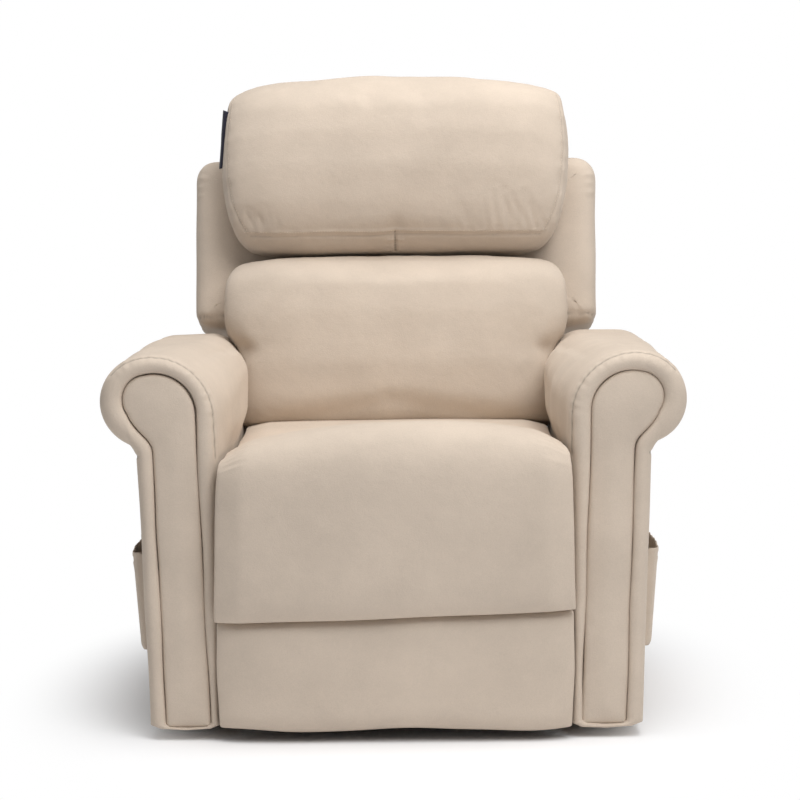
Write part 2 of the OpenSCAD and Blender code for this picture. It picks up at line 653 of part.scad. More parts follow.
module shell_outline() {
    wing_low = wing_foot - shell_foot;
    half = concat(
        [[0, shell_foot], [shell_low_half_w, shell_foot], [shell_low_half_w, wing_foot - bracket_w / 2]],
        [for (c = wing_cut_share) [c[0] * wing_half_w, wing_foot + c[1] * (wing_h - wing_foot)]],
        arc([wing_half_w - wing_r, wing_h - wing_r], wing_r, 0, 90),
        [[head_board_half_w, wing_h]],
        arc([head_board_half_w - wing_r, shell_top - wing_r], wing_r, 0, 90),
        [[0, shell_top]]);
    last = len(half) - 1;
    polygon(concat(half, [for (i = [last - 1 : -1 : 1]) [-half[i][0], half[i][1]]]));
}
module back_shell() color("#b3a28e") on_back() difference() {
    translate([0, shell_front + shell_t, 0]) rotate([90, 0, 0]) linear_extrude(shell_t) shell_outline();
    translate([-frame_half_w - soft_gap, -frame_t / 2 - soft_gap, frame_foot - soft_gap])
        cube([2 * (frame_half_w + soft_gap), frame_t + 2 * soft_gap, frame_top - frame_foot + 2 * soft_gap]);
}
outer_pad_t = 38;
outer_pad_h = 590;
outer_rows_share = [[0, 0.66, 0.3, 0], [0.02, 0.7, 0.6, 0], [0.1, 0.72, 0.9, 0], [0.34, 0.74, 1, 0],
    [0.42, 0.9, 1, 0], [0.5, 0.98, 1, 0], [0.7, 1, 1, 0], [0.82, 0.98, 0.95, 0], [0.86, 0.9, 0.85, 0],
    [0.9, 0.72, 0.75, 0], [0.97, 0.68, 0.5, 0], [1, 0.6, 0.25, 0]];
module outer_back_pad() color("#ad9c88") on_back()
    translate([0, shell_front + shell_t + soft_gap + outer_pad_t / 2, shell_foot])
        soft_form(outer_rows_share, [2 * wing_half_w - wing_r, outer_pad_t, outer_pad_h], round_box);
lumbar_foot = 66;
lumbar_h = 292;
lumbar_rows_share = [[0, 0.77, 0.5, 0.05], [0.03, 0.81, 0.75, 0.02], [0.12, 0.83, 0.92, 0],
    [0.3, 0.835, 1, 0], [0.46, 0.84, 1, 0], [0.52, 0.87, 1, 0], [0.57, 0.93, 0.99, 0.005],
    [0.65, 0.985, 0.96, 0.02], [0.78, 1, 0.89, 0.055], [0.9, 0.985, 0.77, 0.115],
    [0.97, 0.94, 0.6, 0.2], [1, 0.86, 0.36, 0.32]];
module lumbar_cushion() color("#cbbba8") on_back()
    translate([0, shell_front - soft_gap - lumbar_t / 2, lumbar_foot])
        soft_form(lumbar_rows_share, [lumbar_w, lumbar_t, lumbar_h], round_box);
head_rows_share = [[0, 0.85, 0.5, 0.25], [0.02, 0.89, 0.72, 0.14], [0.07, 0.93, 0.88, 0.06],
    [0.1, 0.945, 0.9, 0.05], [0.108, 0.947, 0.84, 0.06], [0.116, 0.95, 0.92, 0.04],
    [0.16, 0.965, 0.97, 0.015], [0.3, 0.985, 1, 0], [0.5, 1, 0.99, 0.005], [0.66, 1, 0.95, 0.025],
    [0.78, 0.99, 0.89, 0.055], [0.87, 0.95, 0.8, 0.1], [0.91, 0.89, 0.74, 0.13],
    [0.938, 0.76, 0.67, 0.165], [0.963, 0.59, 0.58, 0.21], [0.99, 0.333, 0.42, 0.29],
    [1, 0.1, 0.25, 0.375]];
head_foot = lumbar_foot + lumbar_h + soft_gap;
module head_cushion() color("#c3b3a0") on_back()
    translate([0, shell_front - soft_gap - head_t / 2, head_foot])
        soft_form(head_rows_share, [head_w, head_t, head_h], round_box);
tab_w = 9;
tab_h = 97;
tab_t = 2;
tab_share = 0.66;
module label_tab() color("#1c1a2e") on_back()
    translate([-head_w / 2 - tab_w, shell_front - soft_gap - head_t / 2,
        head_foot + tab_share * head_h - tab_h / 2])
        cube([tab_w, tab_t, tab_h]);

module footrest_board() color("#b98d58")
    translate([-foot_board_w / 2, -board_f - foot_board_t, board_top_z - foot_board_h])
        cube([foot_board_w, foot_board_t, foot_board_h]);
flange_t = 3;
flange_w = 26;
module footrest_brackets() color("#3a3a3c") both_sides() difference() {
    union() {
        slab(layer_x(3), link_t) {
            bar(foot_low, [board_f - link_w / 2, foot_low[1]], link_w / 2);
            bar(foot_high, [board_f - link_w / 2, foot_high[1]], link_w / 2);
            polygon([[board_f - link_w, foot_low[1] - link_w], [board_f, foot_low[1] - link_w],
                [board_f, foot_high[1] + link_w], [board_f - link_w, foot_high[1] + link_w]]);
        }
        translate([layer_x(3) + link_t - flange_w, -board_f, foot_low[1] - link_w])
            cube([flange_w, flange_t, foot_high[1] - foot_low[1] + 2 * link_w]);
    }
    for (p = [foot_low, foot_high]) across(p, link_pin_r + fit, layer_x(3) - over, link_t + 2 * over);
}
pad_foot_z = 205;
pad_top_z = 440;
pad_rows_share = [[0, 0.95, 0.5, 0], [0.04, 0.972, 0.85, 0], [0.15, 0.985, 0.97, 0], [0.4, 1, 1, 0],
    [0.7, 0.995, 1, 0], [0.9, 0.975, 0.97, 0], [0.97, 0.965, 0.85, 0], [1, 0.95, 0.6, 0]];
module legrest_pad() color("#bfae9b")
    translate([0, -arm_front_f - soft_gap - pad_t / 2, pad_foot_z])
        soft_form(pad_rows_share, [pad_w, pad_t, pad_top_z - pad_foot_z], square_box);
flap_foot_z = 17;
flap_t = 32;
flap_rows_share = [[0, 0.965, 0.6, 0], [0.03, 0.985, 0.9, 0], [0.2, 0.99, 1, 0], [0.6, 0.985, 1, 0],
    [0.95, 0.97, 0.95, 0], [1, 0.96, 0.7, 0]];
module footrest_flap() color("#b5a491")
    translate([0, -arm_front_f - soft_gap - flap_t / 2, flap_foot_z])
        soft_form(flap_rows_share, [pad_w, flap_t, pad_foot_z - flap_foot_z - soft_gap], square_box);

// Footrest links: plates in four layers, pinned to their neighbours
module link_plate(layer, points, rivets, pivots) both_sides() difference() {
    slab(layer_x(layer), link_t) for (i = [1 : len(points) - 1]) bar(points[i - 1], points[i], link_w / 2);
    for (p = rivets) across(p, link_pin_r + fit, layer_x(layer) - over, link_t + 2 * over);
    for (p = pivots) across(p, front_pin_r + fit, layer_x(layer) - over, link_t + 2 * over);
}
module front_arm_links() color("#3a3a3c")
    link_plate(3, [front_pivot, front_end], [front_mid, front_end], [front_pivot]);
module footrest_drive_tube() color("#2b2b2d") union() {
    difference() {
        across(front_pivot, drive_r, -layer_x(3), 2 * layer_x(3));
        across(front_pivot, drive_r - tube_wall, -layer_x(3) - over, 2 * layer_x(3) + 2 * over);
    }
    difference() {
        lever_pair(-motor_side_x, front_pivot, drive_end, lever_r - tube_wall);
        across(front_pivot, drive_r - tube_wall / 2, -motor_side_x - rod_eye_w, 2 * rod_eye_w);
    }
}
rivet_head_r = 7.5;
rivet_head_t = 2.5;
module front_arm_rivets() color("#9a9a9e") both_sides() {
    across(front_mid, link_pin_r, layer_x(3), 2 * link_t + layer_gap);
    across(front_end, link_pin_r, layer_x(4), 2 * link_t + layer_gap);
    across(front_end, rivet_head_r, layer_x(4) - rivet_head_t, rivet_head_t);
}
module rear_arm_links() color("#3a3a3c") link_plate(1, [rear_pivot, rear_end], [rear_end], [rear_pivot]);
// The long link bends round the front pivot when the footrest is shut
long_bend = 16;
long_bend_share = 0.62;
long_knee = front_mid + long_bend_share * (foot_high - front_mid) + long_bend * unit(long_a - 90);
module long_lift_links() color("#3a3a3c")
    link_plate(2, [rear_end, front_mid, long_knee, foot_high], [rear_end, front_mid, foot_high], []);
module short_lift_links() color("#3a3a3c") link_plate(4, [front_end, foot_low], [front_end, foot_low], []);

// Actuators: local +X from the hinge pin to the rod's eye
gear_u0 = 17;
gear_l = 54;
gear_h = 44;
can_r = 20;
can_l = 96;
gear_corner = 8;
rod_r = 8;
rod_tube_r = 15;
eye_r = 12;
module motor_body(side) difference() {
    union() {
        rotate([90, 0, 0]) cylinder(r = lug_r, h = motor_lug_w, center = true, $fn = 48);
        translate([0, -motor_lug_w / 2, -lug_r * 0.75]) cube([gear_u0 + over, motor_lug_w, 1.5 * lug_r]);
        rotate([90, 0, 0]) linear_extrude(gear_h, center = true)
            rounded_rect(gear_u0, -gear_h / 2, gear_l, gear_h);
        translate([0, side * (gear_h / 2 + can_r), 0]) rotate([90, 0, 0])
            linear_extrude(2 * can_r, center = true) rounded_rect(gear_u0, -gear_h / 2, gear_l, gear_h);
        translate([gear_u0 + gear_l / 2, side * (gear_h / 2 + can_r), 0]) rotate([0, 90, 0])
            cylinder(r = can_r, h = can_l, $fn = 48);
    }
    rotate([90, 0, 0]) cylinder(r = motor_pin_r + fit, h = 2 * motor_lug_w, center = true, $fn = 48);
    translate([gear_u0 + gear_l - gear_corner, 0, 0]) rotate([0, 90, 0])
        cylinder(r = rod_tube_r + fit, h = gear_corner + over, $fn = 48);
}
module rounded_rect(u, v, w, h) polygon(concat(
    arc([u + gear_corner, v + gear_corner], gear_corner, 180, 270),
    arc([u + w - gear_corner, v + gear_corner], gear_corner, 270, 360),
    arc([u + w - gear_corner, v + h - gear_corner], gear_corner, 0, 90),
    arc([u + gear_corner, v + h - gear_corner], gear_corner, 90, 180)));
module motor_tube(l) translate([gear_u0 + gear_l - gear_corner, 0, 0]) rotate([0, 90, 0]) difference() {
    cylinder(r = rod_tube_r, h = l - gear_u0 - gear_l + gear_corner, $fn = 48);
    translate([0, 0, -over]) cylinder(r = rod_r + fit, h = l, $fn = 48);
}
module motor_rod(from, reach) difference() {
    union() {
        translate([from, 0, 0]) rotate([0, 90, 0]) cylinder(r = rod_r, h = reach - from, $fn = 48);
        rotate([90, 0, 0]) translate([reach, 0, 0])
            cylinder(r = eye_r, h = rod_eye_w, center = true, $fn = 48);
    }
    translate([reach, 0, 0]) rotate([90, 0, 0])
        cylinder(r = motor_pin_r + fit, h = 2 * rod_eye_w, center = true, $fn = 48);
}
lift_reach = norm(lift_e - lift_g);
foot_reach = norm(drive_end - foot_k);
back_reach = norm(back_end - back_k);
back_reach_down = norm(back_end_down - back_k);
lift_tube_l = 290;
foot_tube_l = 280;
back_tube_l = 300;
rod_hidden = 4;
rod_start = gear_u0 + gear_l + rod_hidden;
module on_lift() aim(0, lift_g, heading(lift_e - lift_g)) children();
module on_foot() aim(-motor_side_x, foot_k, heading(drive_end - foot_k)) children();
module on_recline() aim(motor_side_x, back_k, heading(back_end - back_k)) children();
module lift_motor() color("#262628") on_lift() motor_body(1);
module lift_motor_tube() color("#77777b") on_lift() motor_tube(lift_tube_l);
module lift_motor_rod() color("#b4b4b8") on_lift() motor_rod(rod_start, lift_reach);
module foot_motor() color("#262628") on_foot() motor_body(-1);
module foot_motor_tube() color("#77777b") on_foot() motor_tube(foot_tube_l);
module foot_motor_rod() color("#b4b4b8") on_foot() motor_rod(rod_start, foot_reach);
module back_motor() color("#262628") on_recline() motor_body(1);
module back_motor_tube() color("#77777b") on_recline() motor_tube(back_tube_l);
module back_motor_rod() color("#b4b4b8") on_recline()
    motor_rod(rod_start + back_reach - back_reach_down, back_reach);

// Handset in the left pocket, and its keys on the outer face
handset_h = 168;
handset_w = 50;
handset_t = 12;
handset_place_share = 0.72;
handset_f = pocket_rear_f + handset_place_share * pocket_w;
handset_gap = 1;
key_h = 17;
key_w = 15;
key_out = 1;
key_depth = 3;
key_gap = 0.3;
key_travel = 0.8;
key_rise_share = [0.6, 0.76];
key_pitch_share = 0.7;
// Frame of the handset: local Z up along the arm's side, local X outward
module on_handset() {
    foot_z = pocket_foot_z + pocket_wall + soft_gap + handset_t * sin(stem_a);
    mirror([1, 0, 0]) translate([stem_x(foot_z) + handset_gap, -handset_f, foot_z])
        rotate([0, stem_a, 0]) children();
}
module key_place(row, side) translate([handset_t - key_depth, side * key_pitch_share * key_w - key_w / 2,
    handset_h * key_rise_share[row] - key_h / 2]) children();
module handset_body() color("#242625") on_handset() difference() {
    translate([0, -handset_w / 2, 0]) cube([handset_t, handset_w, handset_h]);
    for (row = [0, 1], side = [-1, 1]) key_place(row, side)
        translate([-key_gap - key_travel, -key_gap, -key_gap])
            cube([key_depth + key_travel + key_gap + over, key_w + 2 * key_gap, key_h + 2 * key_gap]);
}
module key(row, side) on_handset() key_place(row, side) cube([key_depth + key_out, key_w, key_h]);
module button_raise() color("#c9c9cb") key(1, 1);
module button_lower() color("#c9c9cb") key(1, -1);
module button_recline() color("#c9c9cb") key(0, 1);
module button_upright() color("#c9c9cb") key(0, -1);

base_side_rails();
base_cross_tubes();
riser_plates();
floor_glides();
lift_motor_bracket();
base_pins();
lower_lift_links();
torsion_tube();
upper_lift_links();
mechanism_plates();
chassis_cross_tubes();
motor_brackets();
chassis_pins();
seat_frame();
seat_springs();
spring_clips();
seat_deck();
seat_cushion();
arm_frame_left();
arm_frame_right();
arm_cover_left();
arm_cover_right();
arm_facing_left();
arm_facing_right();
pocket_left();
pocket_right();
rear_panel();
frame_bolts();
back_frame();
back_hinge_brackets();
back_lever_tube();
back_shell();
outer_back_pad();
lumbar_cushion();
head_cushion();
label_tab();
footrest_board();
footrest_brackets();
legrest_pad();
footrest_flap();
front_arm_links();
footrest_drive_tube();
front_arm_rivets();
rear_arm_links();
long_lift_links();
short_lift_links();
lift_motor();
lift_motor_tube();
lift_motor_rod();
foot_motor();
foot_motor_tube();
foot_motor_rod();
back_motor();
back_motor_tube();
back_motor_rod();
handset_body();
button_raise();
button_lower();
button_recline();
button_upright();
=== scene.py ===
import math
import random

import bmesh
import bpy
import numpy as np
from mathutils import Matrix, Vector
from mathutils.bvhtree import BVHTree
from mathutils.geometry import delaunay_2d_cdt


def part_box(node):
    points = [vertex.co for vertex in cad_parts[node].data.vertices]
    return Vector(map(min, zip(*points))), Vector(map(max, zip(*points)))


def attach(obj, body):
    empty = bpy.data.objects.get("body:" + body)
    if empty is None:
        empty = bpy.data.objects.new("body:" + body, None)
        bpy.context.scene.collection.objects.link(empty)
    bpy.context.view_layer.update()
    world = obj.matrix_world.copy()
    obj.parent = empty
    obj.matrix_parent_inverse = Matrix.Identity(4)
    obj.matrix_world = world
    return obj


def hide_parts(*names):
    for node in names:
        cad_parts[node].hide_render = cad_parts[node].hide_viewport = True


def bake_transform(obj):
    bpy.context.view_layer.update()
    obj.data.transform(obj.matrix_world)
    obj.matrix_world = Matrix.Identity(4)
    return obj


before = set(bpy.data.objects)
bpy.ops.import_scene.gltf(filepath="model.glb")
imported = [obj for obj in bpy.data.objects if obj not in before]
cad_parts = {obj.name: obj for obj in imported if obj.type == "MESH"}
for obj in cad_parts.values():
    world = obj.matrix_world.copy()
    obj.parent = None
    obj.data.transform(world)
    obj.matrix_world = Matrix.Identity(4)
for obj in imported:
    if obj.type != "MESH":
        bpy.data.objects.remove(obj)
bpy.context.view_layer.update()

# The camera
# A long lens a little above the head cushion's middle, tipped down to the
# centre of the chair, as in a shop picture.


def linked(name, data):
    """A new object in the scene."""
    made = bpy.data.objects.new(name, data)
    bpy.context.scene.collection.objects.link(made)
    return made


camera = linked("camera", bpy.data.cameras.new("camera"))
camera.data.sensor_width = 36
camera.data.lens = 104.91
camera.location = (0.0387, -3.867, 0.7955)
camera.rotation_euler = (math.radians(90 - 4.687), math.radians(0.560), math.radians(0.424))
bpy.context.scene.camera = camera
bpy.context.scene.view_settings.view_transform = "Standard"

# The studio
# A pale floor that keeps the chair's shadow and fades to white, with broad
# soft lamps above the front, at the front right and at the right side.


class Wire:
    """A shader socket that can be added, multiplied and so on."""

    def __init__(self, tree, socket):
        self.tree, self.socket = tree, socket

    @classmethod
    def made(cls, tree, kind, settings=None, sockets=None, out=0):
        """A new node of a type, with its settings first, then its sockets' values or links."""
        new = tree.nodes.new(kind)
        for name, value in (settings or {}).items():
            setattr(new, name, value)
        for name, value in (sockets or {}).items():
            if isinstance(value, Wire):
                tree.links.new(value.socket, new.inputs[name])
            else:
                new.inputs[name].default_value = value
        return cls(tree, new.outputs[out])

    def sum(self, operation, *values):
        return Wire.made(self.tree, "ShaderNodeMath", {"operation": operation}, dict(enumerate(values)))

    def __add__(self, other): return self.sum("ADD", self, other)
    def __mul__(self, other): return self.sum("MULTIPLY", self, other)
    def __sub__(self, other): return self.sum("SUBTRACT", self, other)
    def __rsub__(self, other): return self.sum("SUBTRACT", other, self)
    __radd__, __rmul__ = __add__, __mul__

    def eased(self, low, high):
        """0 below low, 1 above high, smooth between."""
        return Wire.made(self.tree, "ShaderNodeMapRange", {"interpolation_type": "SMOOTHSTEP"},
                         {"Value": self, "From Min": low, "From Max": high})


def noise(place, scale, detail=2.0, rough=0.5, stretch=None):
    """Cloudy noise from 0 to 1 at a place, stretched along some axes."""
    if stretch:
        place = Wire.made(place.tree, "ShaderNodeMapping", None, {"Vector": place, "Scale": stretch})
    return Wire.made(place.tree, "ShaderNodeTexNoise", None,
                     {"Vector": place, "Scale": scale, "Detail": detail, "Roughness": rough})


def mixed(factor, first, second):
    """Two colours mixed by a factor."""
    tree = factor.tree
    new = tree.nodes.new("ShaderNodeMix")
    new.data_type, new.blend_type = "RGBA", "MIX"
    for end, value in zip((new.inputs[0], new.inputs[6], new.inputs[7]), (factor, first, second)):
        if isinstance(value, Wire):
            tree.links.new(value.socket, end)
        else:
            end.default_value = value
    return Wire(tree, new.outputs[2])


def linear(red, green, blue):
    """A colour as it reads on a screen, 0 to 255, as Blender's linear light."""
    return tuple(c / 12.92 if c <= 0.04045 else ((c + 0.055) / 1.055) ** 2.4
                 for c in (red / 255, green / 255, blue / 255)) + (1.0,)


def finish(name, **sockets):
    """A material with one Principled shader; sockets are set on it by name."""
    made = bpy.data.materials.new(name)
    made.use_nodes = True
    shader = made.node_tree.nodes["Principled BSDF"]
    for socket, value in sockets.items():
        shader.inputs[socket.replace("_", " ")].default_value = value
    place = Wire.made(made.node_tree, "ShaderNodeTexCoord", out=3)
    return made, shader, place


def feed(shader, name, wire):
    """Links a wire to the shader's socket of that name."""
    wire.tree.links.new(wire.socket, shader.inputs[name])


def dented(height, strength, distance, under=None):
    """Bump from a height, over another bump when under is given."""
    sockets = {"Height": height, "Strength": strength, "Distance": distance}
    if under:
        sockets["Normal"] = under
    return Wire.made(height.tree, "ShaderNodeBump", None, sockets)


def seen_directly(tree):
    """1 for what the lens and bright metal see, 0 for the light that falls on the chair."""
    rays = tree.nodes.new("ShaderNodeLightPath")
    return Wire(tree, rays.outputs["Is Camera Ray"]) + Wire(tree, rays.outputs["Is Glossy Ray"])


floor_mesh = bpy.data.meshes.new("floor")
floor_mesh.from_pydata([(-9, -9, 0), (9, -9, 0), (9, 9, 0), (-9, 9, 0)], [], [(0, 1, 2, 3)])
floor = linked("floor", floor_mesh)
floor_paint, floor_shader, floor_place = finish("floor_paint", Roughness=0.75, Specular_IOR_Level=0.2)
floor_shader.inputs["Base Color"].default_value = linear(244, 244, 245)
floor_tree = floor_paint.node_tree
SHADOW_DEPTH_SHARE, SHADOW_FULL, SHADOW_GONE = 0.66, 0.34, 0.66
oval = Wire.made(floor_tree, "ShaderNodeVectorMath", {"operation": "MULTIPLY"},
                 {0: floor_place, 1: (1.0, SHADOW_DEPTH_SHARE, 1.0)})
spread = Wire.made(floor_tree, "ShaderNodeVectorMath", {"operation": "LENGTH"}, {0: oval}, out=1)
seen = seen_directly(floor_tree)
white = Wire.made(floor_tree, "ShaderNodeEmission", None, {"Color": (1, 1, 1, 1), "Strength": 1.0})
fade = spread.eased(SHADOW_FULL, SHADOW_GONE) * seen
shown = Wire.made(floor_tree, "ShaderNodeMixShader", None,
                  {0: fade, 1: Wire(floor_tree, floor_shader.outputs[0]), 2: white})
floor_tree.links.new(shown.socket, floor_tree.nodes["Material Output"].inputs["Surface"])
floor_mesh.materials.append(floor_paint)

world = bpy.data.worlds.new("studio")
bpy.context.scene.world = world
world.use_nodes = True
sky = world.node_tree
sky.nodes.clear()
eye = seen_directly(sky)
FILL_STRENGTH = 0.26
fill = Wire.made(sky, "ShaderNodeBackground", None,
                 {"Color": (0.97, 0.98, 1.0, 1), "Strength": FILL_STRENGTH})
plain = Wire.made(sky, "ShaderNodeBackground", None, {"Color": (1, 1, 1, 1), "Strength": 1.0})
both = Wire.made(sky, "ShaderNodeMixShader", None, {0: eye, 1: fill, 2: plain})
sky_end = sky.nodes.new("ShaderNodeOutputWorld")
sky.links.new(both.socket, sky_end.inputs["Surface"])


def lamp(name, place, aim, size, power):
    """A round soft lamp that points at aim."""
    light = bpy.data.lights.new(name, "AREA")
    light.shape, light.size, light.energy = "DISK", size, power
    hung = linked(name, light)
    hung.location = place
    hung.rotation_euler = (Vector(aim) - Vector(place)).to_track_quat("-Z", "Y").to_euler()


chair_middle = (0, 0, 0.5)
lamp("top_lamp", (0.25, -0.7, 3.4), chair_middle, size=2.4, power=78)
lamp("key_lamp", (1.05, -2.1, 2.7), chair_middle, size=1.7, power=40)
lamp("right_lamp", (2.9, -1.0, 2.0), chair_middle, size=1.6, power=7)

# The base frame
# Square steel tube welded to riser plates, powder coated black, on moulded
# floor glides; it stays on the floor while the chair rises.


def coated(name, colour, roughness=0.42):
    """Powder coat: fine orange peel and slightly worn, dusty patches."""
    made, shader, place = finish(name, Metallic=0.0, Specular_IOR_Level=0.5)
    dust = noise(place, 22, 5, 0.6)
    tone = mixed(dust.eased(0.35, 0.75), linear(*colour), linear(*(c * 1.35 + 6 for c in colour)))
    feed(shader, "Base Color", tone)
    feed(shader, "Roughness", noise(place, 60, 3) * 0.2 + (roughness - 0.1))
    feed(shader, "Normal", dented(noise(place, 1500, 2), 0.25, 0.0004))
    return made


def wear(nodes, material):
    """Gives carried-over CAD nodes a material."""
    for name in nodes:
        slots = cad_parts[name].data.materials
        slots.clear()
        slots.append(material)


black_coat = coated("black_powder_coat", (34, 34, 36))
wear(["base_side_rails", "base_cross_tubes", "riser_plates", "lift_motor_bracket",
      "lower_lift_links", "upper_lift_links", "torsion_tube", "chassis_cross_tubes",
      "motor_brackets", "back_hinge_brackets", "back_lever_tube", "footrest_drive_tube"], black_coat)

# The mechanism
# Pressed steel plates and links in layers, dark zinc-nickel finish, turning
# on bright plated pins and rivets.
link_coat = coated("link_finish", (58, 58, 61), 0.36)
wear(["mechanism_plates", "front_arm_links", "rear_arm_links", "long_lift_links",
      "short_lift_links", "footrest_brackets"], link_coat)


def plated(name, colour, roughness=0.28):
    """Bright zinc: fine drawing marks and cloudy patches."""
    made, shader, place = finish(name, Metallic=1.0)
    cloud = noise(place, 70, 4, 0.55)
    feed(shader, "Base Color", mixed(cloud, linear(*(c * 0.8 for c in colour)), linear(*colour)))
    feed(shader, "Roughness", noise(place, 260, 3) * 0.22 + (roughness - 0.11))
    feed(shader, "Normal", dented(noise(place, 900, 2, 0.5, (1, 12, 12)), 0.2, 0.0003))
    return made


zinc = plated("zinc_plate", (196, 196, 194))
wear(["base_pins", "chassis_pins", "front_arm_rivets", "frame_bolts", "spring_clips"], zinc)
spring_steel = plated("spring_steel", (120, 120, 124), 0.4)
wear(["seat_springs"], spring_steel)

# The drives
# Three linear actuators: moulded housings with a fine spark texture, painted
# guide tubes and bright round rods.


def moulded(name, colour, roughness=0.5, grain=0.0002):
    """Moulded plastic with a fine spark texture."""
    made, shader, place = finish(name, Specular_IOR_Level=0.45)
    feed(shader, "Base Color", mixed(noise(place, 40, 3), linear(*colour), linear(*(c + 9 for c in colour))))
    feed(shader, "Roughness", noise(place, 120, 2) * 0.12 + (roughness - 0.06))
    feed(shader, "Normal", dented(noise(place, 2600, 2), 0.5, grain))
    return made


housing_plastic = moulded("housing_plastic", (30, 31, 32))
wear(["lift_motor", "foot_motor", "back_motor", "floor_glides"], housing_plastic)
tube_paint = coated("tube_paint", (112, 113, 116), 0.35)
wear(["lift_motor_tube", "foot_motor_tube", "back_motor_tube"], tube_paint)
rod_chrome = plated("rod_chrome", (222, 223, 226), 0.14)
wear(["lift_motor_rod", "foot_motor_rod", "back_motor_rod"], rod_chrome)

# The timber
# The frames of arms, seat and back, and the footrest's board: sawn poplar and
# plywood, glued and screwed together and left bare.
timber, timber_shader, timber_place = finish("sawn_poplar", Roughness=0.7, Specular_IOR_Level=0.25)
rings = noise(timber_place, 30, 4, 0.6, (6, 1, 6))
feed(timber_shader, "Base Color", mixed(rings.eased(0.3, 0.7), linear(176, 140, 96), linear(204, 170, 124)))
feed(timber_shader, "Normal", dented(noise(timber_place, 240, 3, 0.6, (8, 1, 8)), 0.4, 0.0006))
wear(["seat_frame", "back_frame", "arm_frame_left", "arm_frame_right", "footrest_board"], timber)

# The seat deck
# Needled felt pressed from waste fibre, tacked over the seat springs so that
# the foam above can't be cut by the wires.
deck, deck_shader, deck_place = finish("felt_deck", Roughness=0.95, Specular_IOR_Level=0.1)
fibres = noise(deck_place, 90, 5, 0.7)
feed(deck_shader, "Base Color", mixed(fibres, linear(150, 138, 120), linear(176, 164, 146)))
feed(deck_shader, "Normal", dented(noise(deck_place, 700, 3), 0.7, 0.0008))
wear(["seat_deck"], deck)

# The chaise
# One padded piece from the back of the seat over its front edge down to the
# footrest's hem, cut in beige suede-like cloth.


def suede(name, colour):
    """Brushed microfibre: pebble, short nap, cloudy brushing, with shade painted into its seams."""
    made, shader, place = finish(name, Roughness=0.8, Specular_IOR_Level=0.22,
                                 Sheen_Weight=0.22, Sheen_Roughness=0.45)
    shader.inputs["Sheen Tint"].default_value = linear(250, 238, 224)
    cloud = noise(place, 7.0, 5, 0.6)
    streak = noise(place, 26, 4, 0.62, (1.0, 1.0, 1.4))
    fleck = noise(place, 520, 3, 0.7)
    tone = cloud * 0.5 + streak * 0.16 + fleck * 0.35 + (0.5 - 0.33 - 0.175)
    darker = linear(*(c * 0.93 for c in colour))
    lighter = linear(*(min(255, c * 1.055) for c in colour))
    body = mixed(tone.eased(0.15, 0.85), darker, lighter)
    # Painted shade: along seams the cloth's colour is mixed towards 0.62 of itself, as if the grooves fell
    # in shade.
    painted_seam_shade = Wire.made(place.tree, "ShaderNodeAttribute", {"attribute_name": "painted_seam_shade"}, out=2)
    feed(shader, "Base Color", mixed(painted_seam_shade, body, linear(*(c * 0.62 for c in colour))))
    feed(shader, "Roughness", cloud * 0.12 + 0.74)
    pebble = Wire.made(place.tree, "ShaderNodeTexVoronoi", {"feature": "SMOOTH_F1"},
                       {"Vector": place, "Scale": 620.0, "Smoothness": 0.6})
    grain = dented(pebble + noise(place, 1300, 2) * 0.6, 0.35, 0.0005)
    feed(shader, "Normal", dented(noise(place, 48, 4, 0.55), 0.25, 0.0035, grain))
    return made


beige = suede("beige_suede", (200, 185, 169))


def skinned(name, shape, material):
    """A bmesh as a smooth piece at the origin with its faces outwards."""
    bmesh.ops.recalc_face_normals(shape, faces=shape.faces)
    mesh = bpy.data.meshes.new(name)
    shape.to_mesh(mesh)
    shape.free()
    mesh.polygons.foreach_set("use_smooth", [True] * len(mesh.polygons))
    mesh.materials.append(material)
    return linked(name, mesh)


def block(name, cuts, form, material):
    """A cube's skin, cut into cells: form(a, c, b) places each corner, all three from -1 to 1."""
    shape = bmesh.new()
    bmesh.ops.create_cube(shape, size=2)
    for axis, count in enumerate(cuts):
        edges = [e for e in shape.edges
                 if abs(abs((e.verts[1].co - e.verts[0].co)[axis]) - 2) < 1e-6]
        bmesh.ops.subdivide_edges(shape, edges=edges, cuts=count - 1, use_grid_fill=True)
    for v in shape.verts:
        v.co = form(*v.co)
    return skinned(name, shape, material)


def places(piece):
    """Each point's place, one row a point."""
    co = np.empty(len(piece.data.vertices) * 3)
    piece.data.vertices.foreach_get("co", co)
    return co.reshape(-1, 3)


def normals(piece):
    """Each point's outward direction."""
    no = np.empty(len(piece.data.vertices) * 3)
    piece.data.vertices.foreach_get("normal", no)
    return no.reshape(-1, 3)


def moved(piece, co):
    """Puts the piece's points at the given places."""
    piece.data.vertices.foreach_set("co", co.ravel())
    piece.data.update()


def applied(piece):
    """Turns the piece's modifiers into its mesh."""
    graph = bpy.context.evaluated_depsgraph_get()
    mesh = bpy.data.meshes.new_from_object(piece.evaluated_get(graph), depsgraph=graph)
    piece.modifiers.clear()
    old = piece.data
    piece.data = mesh
    bpy.data.meshes.remove(old)
    mesh.polygons.foreach_set("use_smooth", [True] * len(mesh.polygons))


def subdivided(piece, to_limit=True):
    """Rounds the piece by one level of subdivision."""
    smooth = piece.modifiers.new("smooth", "SUBSURF")
    smooth.levels = smooth.render_levels = 1
    smooth.use_limit_surface = to_limit
    applied(piece)


